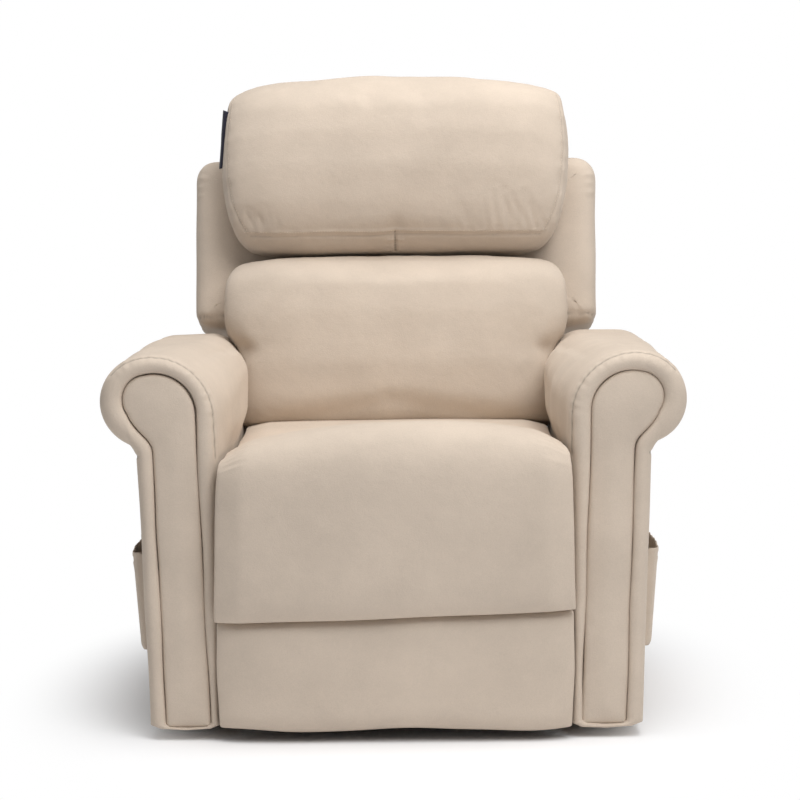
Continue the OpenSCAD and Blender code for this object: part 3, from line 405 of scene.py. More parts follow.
def folded(piece, folds):
    """Raises soft folds: each is a start, an end, a half width and a height."""
    co, no = places(piece), normals(piece)
    lift = np.zeros(len(co))
    for start, end, wide, high in folds:
        a, b = np.array(start), np.array(end)
        t = np.clip(((co - a) @ (b - a)) / ((b - a) @ (b - a)), 0, 1)
        gap = np.linalg.norm(co - (a + t[:, None] * (b - a)), axis=1)
        taper = np.sin(np.pi * (0.08 + 0.84 * t)) ** 0.7
        crest, valley = np.exp(-(gap / wide) ** 2), np.exp(-((gap - 1.9 * wide) / (0.8 * wide)) ** 2)
        lift += high * taper * (crest - 0.45 * valley)
    moved(piece, co + no * lift[:, None])


TURN = 6.28


def worn(piece, height, scale, seed):
    """Slow unevenness of stuffing under cloth, from a few waves."""
    co, no = places(piece), normals(piece)
    random_state = np.random.RandomState(seed)
    lift = np.zeros(len(co))
    for k in range(9):
        way = random_state.normal(size=3)
        length = scale * random_state.uniform(0.6, 1.6)
        lift += np.sin(co @ (way / np.linalg.norm(way)) * TURN / length + random_state.rand() * TURN)
    moved(piece, co + no * (lift * height / 3)[:, None])


skin_out = np.array([(-0.158, 0.424), (-0.152, 0.434), (-0.120, 0.438), (0.0, 0.438), (0.17, 0.444),
                     (0.29, 0.462), (0.372, 0.4775), (0.415, 0.4765), (0.443, 0.460), (0.457, 0.433),
                     (0.4625, 0.402), (0.464, 0.350), (0.464, 0.300), (0.462, 0.242), (0.457, 0.205),
                     (0.447, 0.190)])
skin_in = np.array([(-0.150, 0.412), (-0.146, 0.410), (-0.120, 0.410), (0.0, 0.410), (0.17, 0.413),
                    (0.29, 0.426), (0.372, 0.4365), (0.395, 0.436), (0.408, 0.428), (0.4125, 0.415),
                    (0.4125, 0.395), (0.4125, 0.350), (0.4125, 0.300), (0.4125, 0.242), (0.413, 0.204),
                    (0.418, 0.191)])
skin_wide = np.array([0.254, 0.2552, 0.2555, 0.2555, 0.2545, 0.2525, 0.2515, 0.256, 0.261, 0.2635, 0.265,
                      0.266, 0.2675, 0.2695, 0.2710, 0.2705])
SKIN_STEPS, SMOOTHING_PASSES = 241, 60
skin_at = np.linspace(-1, 1, SKIN_STEPS)


def softened(table):
    """A table of corners as an even, smooth run of points with the same ends."""
    at = np.linspace(0, 1, len(table))
    even = np.linspace(0, 1, SKIN_STEPS)
    fine = np.stack([np.interp(even, at, column) for column in table.reshape(len(table), -1).T], 1)
    for _ in range(SMOOTHING_PASSES):
        fine[1:-1] = (fine[:-2] + 2 * fine[1:-1] + fine[2:]) / 4
    return fine


skin_out, skin_in, skin_wide = softened(skin_out), softened(skin_in), softened(skin_wide)[:, 0]


SKIN_UNDERCUT, CHAISE_SAG, SAG_TILT, HEM_TILT = 0.006, 0.0250, 0.008, 0.0075


def chaise_form(a, c, b):
    """a runs across, c outwards from the foam, b from the seat's rear down to the hem."""
    out = np.array([np.interp(b, skin_at, skin_out[:, k]) for k in (0, 1)])
    inn = np.array([np.interp(b, skin_at, skin_in[:, k]) for k in (0, 1)])
    wide = np.interp(b, skin_at, skin_wide)
    top = (c + 1) / 2
    edge = 0.16 * abs(a) ** 3 + 0.30 * max(0, abs(a) - 0.86) / 0.14
    forward, z = inn + (out - inn) * top * (1 - edge)
    drop = (CHAISE_SAG * a * a - SAG_TILT * a) * max(0, 1 - abs(b + 0.1) / 0.6) * (0.45 + 0.55 * top)
    hem = HEM_TILT * a * max(0, (b - 0.7) / 0.3)
    x = a * (wide - SKIN_UNDERCUT * (1 - top) * (b > 0.1))
    return x, -forward, z - drop + hem


def each_side(seed):
    """The left and the right side, each with its own seeded draw."""
    return (-1, random.Random(seed)), (1, random.Random(seed + 1))


chaise = block("chaise", (54, 6, 92), chaise_form, beige)
subdivided(chaise)
puckers = []
for s, draw in each_side(44):
    for k in range(6):
        b = -0.06 + 0.045 * k
        outer = chaise_form(s * 0.985, 1, b)
        inner = chaise_form(s * (0.86 - draw.uniform(0, 0.05)), 1, b - 0.02)
        puckers.append((outer, inner, draw.uniform(0.0030, 0.0045), draw.uniform(0.0007, 0.0014)))
folded(chaise, puckers)
worn(chaise, height=0.0009, scale=0.16, seed=4)
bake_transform(chaise)
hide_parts("legrest_pad", "seat_cushion")

# The seat's foam block
# A boxed block of cut foam under the chaise, covered in the same cloth and
# glued to the deck; its front edge rises a little under the nose.
seat_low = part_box("seat_cushion")[0]
core_low, core_high = Vector((-0.2535, -0.4035, seat_low.z)), Vector((0.2535, 0.158, 0.4090))
seat_core = block("seat_core", (40, 44, 10), lambda a, c, b: (
    core_low.x + (a + 1) / 2 * (core_high.x - core_low.x),
    core_low.y + (c + 1) / 2 * (core_high.y - core_low.y),
    core_low.z + (b + 1) / 2 * (core_high.z + (0.0265 - 0.0125 * a * a + 0.004 * a)
                                * max(0, (-0.2 - c) / 0.8) - core_low.z)), beige)
bevel = seat_core.modifiers.new("round", "BEVEL")
bevel.width, bevel.segments = 0.010, 3
applied(seat_core)
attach(seat_core, "seat")

# The footrest flap
# A softly padded panel that hangs below the chaise's hem and hides the base
# when the footrest is shut.
flap_low, flap_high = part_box("footrest_flap")


FLAP_HALF, FLAP_TOP, FLAP_THICK, HEM_WAVE, FLAP_IN = 0.2675, 0.1885, 0.033, 0.0035, 0.001


def flap_form(a, c, b):
    """a runs across, c to the rear, b upwards from the hem."""
    rise = (b + 1) / 2
    wide = FLAP_HALF + 0.002 * (1 - b * b) - 0.003 * (1 - rise)
    thick = FLAP_THICK * (1 - 0.55 * abs(a) ** 9) * (1 - 0.5 * abs(b) ** 10)
    wave = HEM_WAVE * math.sin(5.2 * a + 1.0) * (1 - rise)
    top = FLAP_TOP + HEM_TILT * a
    y = flap_high.y - FLAP_IN / 2 - (1 - c) / 2 * thick
    return a * wide, y, flap_low.z + FLAP_IN + rise * (top - flap_low.z - FLAP_IN) + wave


flap = block("flap", (50, 6, 34), flap_form, beige)
subdivided(flap)
worn(flap, height=0.0011, scale=0.13, seed=9)
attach(flap, "footrest")
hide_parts("footrest_flap")

# The arms
# Foam-wrapped timber arms with a rolled scroll along the top; the cloth is
# pulled round the front edge and tucked behind a padded front panel.


def grown(name, points, faces, material):
    """A piece from points and faces, its doubled points merged."""
    shape = bmesh.new()
    corners = [shape.verts.new(p) for p in points]
    for face in faces:
        shape.faces.new([corners[i] for i in face])
    bmesh.ops.remove_doubles(shape, verts=shape.verts, dist=1e-6)
    return skinned(name, shape, material)


def seam_shade_layer(piece):
    """The attribute of painted shade that darkens the cloth along seams, and its values."""
    layer = piece.data.attributes.get("painted_seam_shade") or piece.data.attributes.new("painted_seam_shade", "FLOAT", "POINT")
    values = np.zeros(len(piece.data.vertices), np.float32)
    layer.data.foreach_get("value", values)
    return layer, values


def resampled(path, step=0.003):
    """Points at an even step along a path, and how far along each is."""
    path = np.array(path, float)
    run = np.r_[0, np.cumsum(np.linalg.norm(np.diff(path, axis=0), axis=1))]
    at = np.linspace(0, run[-1], max(2, int(run[-1] / step)))
    return np.stack([np.interp(at, run, path[:, k]) for k in range(3)], 1), at


def surface_of(piece):
    """A tree that finds the nearest place on the piece."""
    mesh = piece.data
    return BVHTree.FromPolygons([v.co for v in mesh.vertices], [p.vertices[:] for p in mesh.polygons])


def on_skin(piece, path):
    """The path's points moved to the nearest places on the piece."""
    surface = surface_of(piece)
    return [surface.find_nearest(Vector(p))[0] for p in path]


def sewn(piece, path, depth, width, pucker, pitch, reach, seed, shade=0.9):
    """Draws a seam into the skin along path: a groove, puckers that fade away from it, and painted shade
    along its line, its strength given by shade.
    """
    line, run = resampled(on_skin(piece, resampled(path, 0.01)[0]))
    co, no = places(piece), normals(piece)
    near = np.full(len(co), 9.0)
    at = np.zeros(len(co))
    low, high = line.min(0) - 3 * reach - width, line.max(0) + 3 * reach + width
    close = np.where(np.all((co > low) & (co < high), axis=1))[0]
    for part in np.array_split(close, max(1, len(close) // 4000)):
        gap = np.linalg.norm(co[part, None] - line[None], axis=2)
        pick = gap.argmin(1)
        near[part] = gap[np.arange(len(part)), pick]
        at[part] = run[pick]
    wave = np.random.RandomState(seed).rand(6) * TURN
    ripple = sum(np.sin(at * TURN / (pitch * k) + w) / k for k, w in zip((1, 0.63, 1.7), wave))
    lift = -depth * np.exp(-(near / width) ** 2)
    lift += pucker * ripple * np.exp(-(near / reach) ** 2) * (1 - np.exp(-(near / width) ** 2))
    moved(piece, co + no * lift[:, None])
    # Painted shade: the seam's line is written into the attribute that darkens the cloth's colour.
    layer, values = seam_shade_layer(piece)
    values = np.maximum(values, np.exp(-(near / (0.5 * width)) ** 2) * shade)
    layer.data.foreach_set("value", values.astype(np.float32))


arm_low, arm_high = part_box("arm_cover_right")
ROLL, STEM_OUT, STEM_LEAN, STEM_TOP, BORDER = 0.071, 0.020, 0.014, 0.422, 0.033
ARM_TOP, ARM_FRONT, ARM_FOOT = arm_high.z, arm_low.y, arm_low.z
roll_x, roll_z = arm_high.x - ROLL, arm_high.z - ROLL
BLEND = math.radians(75)
NECK, REAR_CORNER, ARM_LENGTH, ARM_SWELL, REAR_ARCH = 0.0845, 0.062, 0.66, 0.013, 0.10
PANEL_RISE, STRAIGHT = 0.004, 34
SHOULDER = (roll_x - arm_low.x + ROLL * math.cos(BLEND)) / (1 + math.cos(BLEND))
shoulder_x = roll_x - (SHOULDER - ROLL) * math.cos(BLEND)
shoulder_z = roll_z - (SHOULDER - ROLL) * math.sin(BLEND)
stem_x = roll_x + STEM_OUT


def turn_round(centre, radius, start, end, count):
    """An arc's points; its angles are in degrees, from the right and upwards."""
    return [(centre[0] + radius * math.cos(math.radians(t)), centre[1] + radius * math.sin(math.radians(t)))
            for t in np.linspace(start, end, count)]


def straight(low, high, shares):
    """Points on a line, at the given shares of its length."""
    return [(low[0] + (high[0] - low[0]) * t, low[1] + (high[1] - low[1]) * t) for t in shares]


def crowned(along):
    """How far the inner face swells towards the sitter, at a share of the arm's length."""
    start = min(1, max(0, (along - 0.08) / 0.30))
    end = min(1, max(0, (0.80 - along) / 0.12))
    return ARM_SWELL * start * start * (3 - 2 * start) * end * end * (3 - 2 * end)


def arm_section(rear, swell=0.0):
    """Front view of the padded arm, from its inner foot over the scroll to its outer foot.

    Towards the rear its inner shoulder is fuller; swell pushes its inner face in."""
    full = np.array(turn_round((shoulder_x, shoulder_z), SHOULDER, 180, 75, 22))
    back = turn_round((arm_low.x + REAR_CORNER, ARM_TOP - REAR_CORNER), REAR_CORNER, 180, 90, 22)
    shoulder = full + (np.array(back) - full) * rear
    points = [(shoulder[0][0], z) for z in np.linspace(ARM_FOOT, shoulder[0][1], STRAIGHT)[:-1]]
    points += [tuple(p) for p in shoulder]
    points += turn_round((roll_x, roll_z), ROLL, 74, -66, 24)
    points += [(roll_x + x, roll_z + z) for x, z in (
        (0.0270, -0.0668), (0.0252, -0.0695), (0.0236, -0.0722), (0.0222, -0.0750),
        (0.0212, -0.0775), (0.0204, -0.0795), (0.0200, -0.0815), (0.0199, -NECK))]
    points += [(stem_x - STEM_LEAN * (1 - t), ARM_FOOT + (roll_z - NECK - ARM_FOOT) * t)
               for t in np.linspace(1, 0, STRAIGHT)[1:]]
    shape = np.array(points)
    spoke = shape - (roll_x, roll_z)
    turn = np.arctan2(spoke[:, 1], spoke[:, 0])
    arch = REAR_ARCH * rear * np.where((turn > 0) & (turn < math.pi / 2), np.sin(2 * turn) ** 2, 0)
    shape += spoke * arch[:, None]
    above = np.clip((shape[:, 1] - 0.420) / 0.04, 0, 1)
    inner = above * np.clip((arm_low.x + 0.05 - shape[:, 0]) / 0.05, 0, 1)
    shape[:, 0] -= swell * inner * (shape[:, 1] < ARM_TOP - 0.02)
    shape[:, 0] += 0.0032 * (shape[:, 0] - arm_low.x) / (arm_high.x - arm_low.x)
    return shape


def panel_section():
    """Front view of the front panel's edge, point for point with arm_section."""
    shoulder = turn_round((shoulder_x, shoulder_z + PANEL_RISE), SHOULDER - BORDER, 180, 75, 22)
    foot = (shoulder[0][0] - 0.017, ARM_FOOT + PANEL_RISE)
    points = straight(foot, shoulder[0], np.linspace(0, 1, STRAIGHT)[:-1])
    points += shoulder
    points += turn_round((roll_x + 0.002, roll_z + PANEL_RISE), ROLL - BORDER, 74, -34, 24)
    points += [(roll_x + x, roll_z + z) for x, z in (
        (0.0300, -0.0255), (0.0235, -0.0350), (0.0165, -0.0430), (0.0090, -0.0505),
        (0.0020, -0.0580), (-0.0025, -0.0655), (-0.0043, -0.0740), (stem_x - 0.75 * BORDER - roll_x, -NECK))]
    top = (stem_x - 0.75 * BORDER, roll_z - NECK)
    low = (stem_x - STEM_LEAN - 0.73 * BORDER, ARM_FOOT + PANEL_RISE)
    points += straight(low, top, np.linspace(1, 0, STRAIGHT)[1:])
    return np.array(points)


def lofted(name, rings, material):
    """A closed skin over rings of points, each ring with as many."""
    count = len(rings[0])
    points = [tuple(p) for ring in rings for p in ring]
    faces = []
    for j in range(len(rings) - 1):
        for i in range(count):
            k = (i + 1) % count
            faces.append((j * count + i, j * count + k, (j + 1) * count + k, (j + 1) * count + i))
    faces.append(tuple(range(count))[::-1])
    faces.append(tuple((len(rings) - 1) * count + i for i in range(count)))
    return grown(name, points, faces, material)


def arm_rings():
    """From the groove behind the panel's edge, over the padded border, along the arm to the rear."""
    panel = panel_section()
    front = arm_section(0)
    rings = []
    for share, y in ((1.03, 0.016), (1.0, 0.010), (0.97, 0.0045), (0.9, 0.0010), (0.78, -0.0012),
                     (0.62, -0.0022), (0.45, -0.0018), (0.30, 0.0008), (0.18, 0.0048), (0.09, 0.0098),
                     (0.035, 0.0155), (0.006, 0.022), (-0.008, 0.029)):
        flat = front + (panel - front) * share
        rings.append([(x, ARM_FRONT + y, z) for x, z in flat])
    near_seam = {0.034: 0.0003, 0.0385: 0.0012}
    round_from, round_run, round_in = 0.62, 0.039, 0.018
    centre = np.array([0.325, 0.33])
    for y in np.r_[list(near_seam), np.linspace(0.045, round_from, 52), 0.632, 0.642, 0.650, 0.655, 0.658]:
        rear = min(1, max(0, (y - 0.04) / 0.36)) ** 1.2
        flat = arm_section(rear, crowned(y / ARM_LENGTH))
        tuck = near_seam.get(y, 0.0)
        if y > round_from:
            tuck = round_in * (1 - math.sqrt(max(0, 1 - ((y - round_from) / round_run) ** 2)))
        way = flat - centre
        flat = flat - way / np.linalg.norm(way, axis=1)[:, None] * tuck
        rings.append([(x, ARM_FRONT + y, z) for x, z in flat])
    return rings


def mirrored(piece, name):
    """A copy of the piece on the chair's other side."""
    copy = piece.copy()
    copy.data = piece.data.copy()
    copy.name = copy.data.name = name
    bpy.context.scene.collection.objects.link(copy)
    copy.data.transform(Matrix.Scale(-1, 4, (1, 0, 0)))
    copy.data.flip_normals()
    return copy


arm_right = lofted("arm_right", arm_rings(), beige)
subdivided(arm_right, to_limit=False)
arm_left = mirrored(arm_right, "arm_left")
for arm, side, seed in ((arm_right, "right", 5), (arm_left, "left", 6)):
    s = 1 if side == "right" else -1
    under = [(s * (stem_x + 0.0008), y, roll_z - 0.0815) for y in np.linspace(-0.404, 0.196, 60)]
    sewn(arm, under, depth=0.0012, width=0.0035, pucker=0.0003, pitch=0.03, reach=0.008, seed=seed)
    ring = arm_section(0.0) + (panel_section() - arm_section(0.0)) * 0.10
    behind = [(s * x, ARM_FRONT + 0.0092, z) for x, z in ring[29:62]]
    sewn(arm, behind, depth=0.0022, width=0.0036, pucker=0.0005, pitch=0.022, reach=0.012,
         seed=seed + 3, shade=0.8)
    worn(arm, height=0.0011, scale=0.15, seed=seed)
    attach(arm, "seat")
    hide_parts("arm_cover_" + side)

# The arms' front panels
# Plywood cut to the scroll, under thin foam and cloth stapled round its back;
# nailed on last, so that its edge sinks in a dark groove.


def spaced(path, count):
    """A path as count points at even distances."""
    path = np.array(path, float)
    run = np.r_[0, np.cumsum(np.linalg.norm(np.diff(path, axis=0), axis=1))]
    at = np.linspace(0, run[-1], count)
    return np.stack([np.interp(at, run, path[:, k]) for k in range(path.shape[1])], 1)


def inset(ring, amount):
    """A closed outline moved inwards by amount along its smoothed normals."""
    ahead, behind = np.roll(ring, -1, 0), np.roll(ring, 1, 0)
    along = ahead - behind
    along /= np.maximum(np.linalg.norm(along, axis=1), 1e-9)[:, None]
    normal = np.stack([-along[:, 1], along[:, 0]], 1)
    for _ in range(3):
        normal = normal + np.roll(normal, 1, 0) + np.roll(normal, -1, 0)
        normal /= np.linalg.norm(normal, axis=1)[:, None]
    return ring + normal * amount


def nearest_edge(points, outline):
    """How far each point is from a closed outline."""
    first, way = outline, np.roll(outline, -1, 0) - outline
    away = points[:, None] - first[None]
    share = np.clip((away * way).sum(2) / np.maximum((way ** 2).sum(1), 1e-12), 0, 1)
    return np.linalg.norm(away - way[None] * share[..., None], axis=2).min(1)


def inside(points, outline):
    """Which points lie within a closed outline."""
    x, z = points[:, 0, None], points[:, 1, None]
    x0, z0 = outline[:, 0], outline[:, 1]
    x1, z1 = np.roll(x0, -1), np.roll(z0, -1)
    crossed = ((z0 > z) != (z1 > z)) & (x < (x1 - x0) * (z - z0) / np.where(z1 == z0, 1e-9, z1 - z0) + x0)
    return crossed.sum(1) % 2 == 1


RIM_POINTS, PANEL_CELL = 400, 0.007


def upholstered(name, outline, back, front, edge, crown, reach, material):
    """A flat padded panel cut to an outline: a rounded edge, then a slow swell to its middle."""
    rim = spaced(np.vstack([outline, outline[:1]]), RIM_POINTS)[:-1]
    laid = [rim]
    for step in (0.0006, 0.0016, 0.0032, 0.0055):
        row = inset(rim, step)
        row = row if inside(row, rim).mean() > 0.5 else inset(rim, -step)
        laid.append(row[inside(row, rim) & (nearest_edge(row, rim) > 0.8 * step)])
    low, high = rim.min(0), rim.max(0)
    field = np.array([(x, z) for z in np.arange(low[1], high[1], PANEL_CELL)
                      for x in np.arange(low[0], high[0], PANEL_CELL)])
    field = field[inside(field, rim)]
    laid.append(field[nearest_edge(field, rim) > 0.0085])
    flat = np.vstack(laid)
    count = len(rim)
    edges = [(i, (i + 1) % count) for i in range(count)]
    out = delaunay_2d_cdt([Vector(p) for p in flat], edges, [list(range(count))], 1, 1e-6)
    corners = np.array([tuple(p) for p in out[0]])
    gap = nearest_edge(corners, rim)
    fall = np.clip(gap / edge, 0, 1)
    depth = edge * (1 - np.sqrt(1 - (1 - fall) ** 2)) - crown * (1 - np.exp(-(gap / reach) ** 2))
    points = [(x, front + d, z) for (x, z), d in zip(corners, depth)]
    origin = [group[0] if group else -1 for group in out[3]]
    kept = {source: place for place, source in enumerate(origin) if 0 <= source < count}
    faces = [tuple(face) for face in out[2]]
    base = len(points)
    points += [(x, back, z) for x, z in rim]
    faces += [(kept[i], kept[(i + 1) % count], base + (i + 1) % count, base + i) for i in range(count)]
    faces.append(tuple(base + i for i in range(count)))
    return grown(name, points, faces, material)


panel_edge = panel_section()
panel_edge = spaced(np.vstack([panel_edge, panel_edge[:1]]), RIM_POINTS)[:-1]
panel_right = upholstered("panel_right", panel_edge, ARM_FRONT + 0.0135, ARM_FRONT + 0.0010,
                          edge=0.0075, crown=0.0046, reach=0.024, material=beige)
panel_left = mirrored(panel_right, "panel_left")
for panel, side, seed in ((panel_right, "right", 15), (panel_left, "left", 16)):
    worn(panel, height=0.0006, scale=0.12, seed=seed)
    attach(panel, "seat")
    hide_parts("arm_facing_" + side)

# The side pockets
# An open patch pocket of the same cloth on the outer side of each arm, its
# mouth gathered on elastic.


def pocket_rings(s):
    """Up the pocket's outside, then down its inside, in rings from front to rear."""
    rings = []
    foot, top, rear, front = 0.1225, 0.2750, -0.0905, -0.3295
    for lining in (0, 1):
        heights = np.linspace(foot, top, 22) if not lining else np.linspace(top, foot + 0.0045, 22)
        for z in heights:
            stem = stem_x - STEM_LEAN * (STEM_TOP - z) / (STEM_TOP - ARM_FOOT)
            rise = (z - foot) / (top - foot)
            out = (0.0205 + 0.0080 * rise) * min(1, 0.80 + rise * 9)
            ring = []
            for t in np.linspace(0, math.pi, 40):
                y = (rear + front) / 2 + (front - rear) / 2 * -math.cos(t) * (1 - 0.012 * lining)
                bow = min(1, (math.sin(t) + 1e-9) ** 0.20)
                bag = 0.0016 * math.sin(7 * t + 1.3) * (1 - rise * 0.6)
                bag += 0.0009 * math.sin(23 * t) * max(0, rise - 0.8) * 5
                x = stem - 0.0006 + (out + bag - 0.0022 * lining) * bow + 0.0024 * lining * (1 - bow)
                ring.append((s * x, y, z))
            rings.append(ring)
    return rings


for side, s in (("left", -1), ("right", 1)):
    rings = pocket_rings(s)
    count = len(rings[0])
    points = [p for ring in rings for p in ring]
    faces = [(j * count + i, j * count + i + 1, (j + 1) * count + i + 1, (j + 1) * count + i)
             for j in range(len(rings) - 1) for i in range(count - 1)]
    last = (len(rings) - 1) * count
    faces += [(i, i + 1, last + i + 1, last + i) for i in range(count - 1)]
    faces.append(tuple(j * count for j in range(len(rings))))
    faces.append(tuple(j * count + count - 1 for j in range(len(rings) - 1, -1, -1)))
    pocket = grown("pocket_bag_" + side, points, faces, beige)
    subdivided(pocket, to_limit=False)
    mouth = [(s * (stem_x + 0.030), y, 0.262) for y in np.linspace(-0.318, -0.102, 40)]
    sewn(pocket, mouth, depth=0.0016, width=0.0028, pucker=0.0009, pitch=0.016, reach=0.012,
         seed=71 + s, shade=0.5)
    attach(pocket, "seat")
    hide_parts("pocket_" + side)

# The outer back
# A foam-wrapped board back with square wings, its cloth seamed round the
# edge and closed low down on each wing with a cross seam.
LEAN, HINGE = math.radians(13), (0.225, 0.330)


def on_back(x, w, v):
    """A place on the back: w is depth towards the rear, v is height along it."""
    y, z = HINGE
    return x, y + w * math.cos(LEAN) + v * math.sin(LEAN), z - w * math.sin(LEAN) + v * math.cos(LEAN)


BACK_FOOT, BACK_HALF, WING_HALF, WING_TOP, BACK_TOP, CROSS_SEAM = 0.046, 0.2425, 0.3555, 0.559, 0.652, 0.271


def shell_edge():
    """The outer back's outline, seen along its depth."""
    half = [(0, BACK_FOOT), (BACK_HALF, BACK_FOOT), (BACK_HALF, 0.243)]
    half += [(0.332, 0.2565), (0.347, 0.262), (0.3545, 0.278)]
    half += turn_round((WING_HALF - 0.036, WING_TOP - 0.036), 0.036, 0, 90, 9)
    half += [(0.262, WING_TOP)] + turn_round((0.262 - 0.040, BACK_TOP - 0.040), 0.040, 0, 90, 7)
    half += [(0, BACK_TOP)]
    right = spaced(half, 110)
    left = right[-2:0:-1] * (-1, 1)
    return np.vstack([right, left])


shell_rings = []
edge = shell_edge()
for w, amount in ((-0.0650, 0.060), (-0.0656, 0.040), (-0.0640, 0.026), (-0.0605, 0.016), (-0.0545, 0.0085),
                  (-0.0465, 0.0035), (-0.037, 0.0008), (-0.025, 0.0), (0.0, -0.0006), (0.025, -0.0006),
                  (0.045, 0.0), (0.056, 0.0012), (0.063, 0.0045), (0.0675, 0.010), (0.0695, 0.018),
                  (0.0698, 0.030)):
    shell_rings.append([on_back(x, w, v) for x, v in inset(edge, amount)])
shell = lofted("outer_back", shell_rings, beige)
subdivided(shell, to_limit=False)
for s in (-1, 1):
    cross = [on_back(s * x, -0.0655, CROSS_SEAM) for x in np.linspace(0.24, 0.342, 20)]
    cross += [on_back(s * 0.355, w, CROSS_SEAM) for w in np.linspace(-0.04, 0.06, 12)]
    sewn(shell, cross, depth=0.0022, width=0.0030, pucker=0.0004, pitch=0.024, reach=0.012,
         seed=21 + s, shade=0.6)
gathers = []
for s, draw in each_side(25):
    for k in range(4):
        v = 0.542 - 0.016 * k
        inner = on_back(s * (0.338 - draw.uniform(0, 0.006)), -0.066, v - 0.004)
        gathers.append((on_back(s * 0.354, -0.046, v), inner, draw.uniform(0.003, 0.0045),
                        draw.uniform(0.0010, 0.0018)))
folded(shell, gathers)
worn(shell, height=0.0011, scale=0.14, seed=22)
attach(shell, "back")
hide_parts("back_shell")

# The rear of the back
# A thinly padded cloth panel over the shell's rear, made of two widths with a
# seam down the middle, and the cloth-covered rear panel between the arms.
PAD_HALF, PAD_THICK, PAD_FACE, PAD_HEIGHT = 0.336, 0.038, 0.0702, 0.590
pad_table = np.array([(0, 0.66), (0.02, 0.7), (0.1, 0.72), (0.34, 0.74), (0.42, 0.9), (0.5, 0.98), (0.7, 1),
                      (0.82, 0.98), (0.86, 0.9), (0.9, 0.72), (0.97, 0.68), (1, 0.6)])


def pad_form(a, c, b):
    """a runs across, c to the rear, b upwards."""
    rise = (b + 1) / 2
    wide = PAD_HALF * np.interp(rise, pad_table[:, 0], pad_table[:, 1])
    thick = PAD_THICK * (0.62 + 0.38 * (1 - abs(a) ** 5) * (1 - abs(b) ** 6))
    return on_back(a * wide, PAD_FACE + (c + 1) / 2 * thick, BACK_FOOT + PAD_HEIGHT * rise)


rear_pad = block("rear_pad", (50, 5, 52), pad_form, beige)
subdivided(rear_pad, to_limit=False)
rear_path = [on_back(0.0, 0.108, v) for v in np.linspace(0.06, 0.62, 40)]
sewn(rear_pad, rear_path, depth=0.0035, width=0.004, pucker=0.0006, pitch=0.03, reach=0.015, seed=31)
worn(rear_pad, height=0.0012, scale=0.15, seed=32)
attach(rear_pad, "back")
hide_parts("outer_back_pad")
wear(["rear_panel"], beige)

# The rear panel's staples
# Flat zinc wire staples, driven along the panel's border at an even pitch to
# hold its cloth to the board behind.


def group_with(name, inputs):
    """A Geometry Nodes tree with a geometry input, the named inputs and a geometry output."""
    tree = bpy.data.node_groups.new(name, "GeometryNodeTree")
    tree.interface.new_socket("Geometry", in_out="INPUT", socket_type="NodeSocketGeometry")
    for label, (kind, value) in inputs.items():
        made = tree.interface.new_socket(label, in_out="INPUT", socket_type=kind)
        if value is not None:
            made.default_value = value
    tree.interface.new_socket("Geometry", in_out="OUTPUT", socket_type="NodeSocketGeometry")
    return tree, tree.nodes.new("NodeGroupInput"), tree.nodes.new("NodeGroupOutput")


def chained(tree, kind, settings=None, **sockets):
    """A node of a Geometry Nodes tree; sockets are links or values, by name with _ for a space."""
    new = tree.nodes.new(kind)
    for label, value in (settings or {}).items():
        setattr(new, label, value)
    for label, value in sockets.items():
        end = new.inputs[label.replace("_", " ")]
        if isinstance(value, bpy.types.NodeSocket):
            tree.links.new(value, end)
        else:
            end.default_value = value
    return new.outputs[0]


def stitch_tree():
    """Turns a line of points into a row of thread stitches."""
    tree, given, end = group_with("stitches_along_a_seam", {
        "Pitch": ("NodeSocketFloat", 0.0046), "Length": ("NodeSocketFloat", 0.0034),
        "Thickness": ("NodeSocketFloat", 0.0009), "Thread": ("NodeSocketMaterial", None)})
    curve = chained(tree, "GeometryNodeMeshToCurve", Mesh=given.outputs["Geometry"])
    marks = chained(tree, "GeometryNodeResampleCurve", {"mode": "LENGTH"}, Curve=curve,
                    Length=given.outputs["Pitch"])
    along = chained(tree, "GeometryNodeInputTangent")
    turn = chained(tree, "FunctionNodeAlignRotationToVector", {"axis": "Z"}, Vector=along)
    bead = chained(tree, "GeometryNodeMeshIcoSphere", Radius=0.5, Subdivisions=1)
    thick = given.outputs["Thickness"]
    size = chained(tree, "ShaderNodeCombineXYZ", X=thick, Y=thick, Z=given.outputs["Length"])
    laid = chained(tree, "GeometryNodeInstanceOnPoints", Points=marks, Instance=bead,
                   Rotation=turn, Scale=size)
    whole = chained(tree, "GeometryNodeRealizeInstances", Geometry=laid)
    done = chained(tree, "GeometryNodeSetMaterial", Geometry=whole, Material=given.outputs["Thread"])
    tree.links.new(done, end.inputs["Geometry"])
    return tree


def worked(piece, tree, **values):
    """Runs a tree on the piece with the given inputs and keeps the result as its mesh."""
    nodes = piece.modifiers.new("nodes", "NODES")
    nodes.node_group = tree
    for item in tree.interface.items_tree:
        if item.in_out == "INPUT" and item.name in values:
            nodes[item.identifier] = values[item.name]
    applied(piece)


STITCHES = stitch_tree()
rear_low, rear_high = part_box("rear_panel")
STAPLE_IN, STAPLE_PITCH, STAPLE_CROWN, STAPLE_WIRE = 0.009, 0.028, 0.0095, 0.0012
staple_line = [(x, rear_high.y + 0.0003, z) for x, z in (
    (rear_low.x + STAPLE_IN, rear_low.z + STAPLE_IN), (rear_high.x - STAPLE_IN, rear_low.z + STAPLE_IN),
    (rear_high.x - STAPLE_IN, rear_high.z - STAPLE_IN), (rear_low.x + STAPLE_IN, rear_high.z - STAPLE_IN))]
staple_mesh = bpy.data.meshes.new("rear_staples")
staple_mesh.from_pydata(staple_line, [(0, 1), (1, 2), (2, 3), (3, 0)], [])
staples = linked("rear_staples", staple_mesh)
worked(staples, STITCHES, Pitch=STAPLE_PITCH, Length=STAPLE_CROWN, Thickness=STAPLE_WIRE, Thread=zinc)
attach(staples, "seat")

# The lumbar cushion
# A bolster sewn in one width, narrow between the arms and spreading into a
# lobe over each; fibre fill, blown full.
CUSHION_CELL, PRESSURE, FRAMES, CREEP = 0.006, 3.0, 20, 0.002


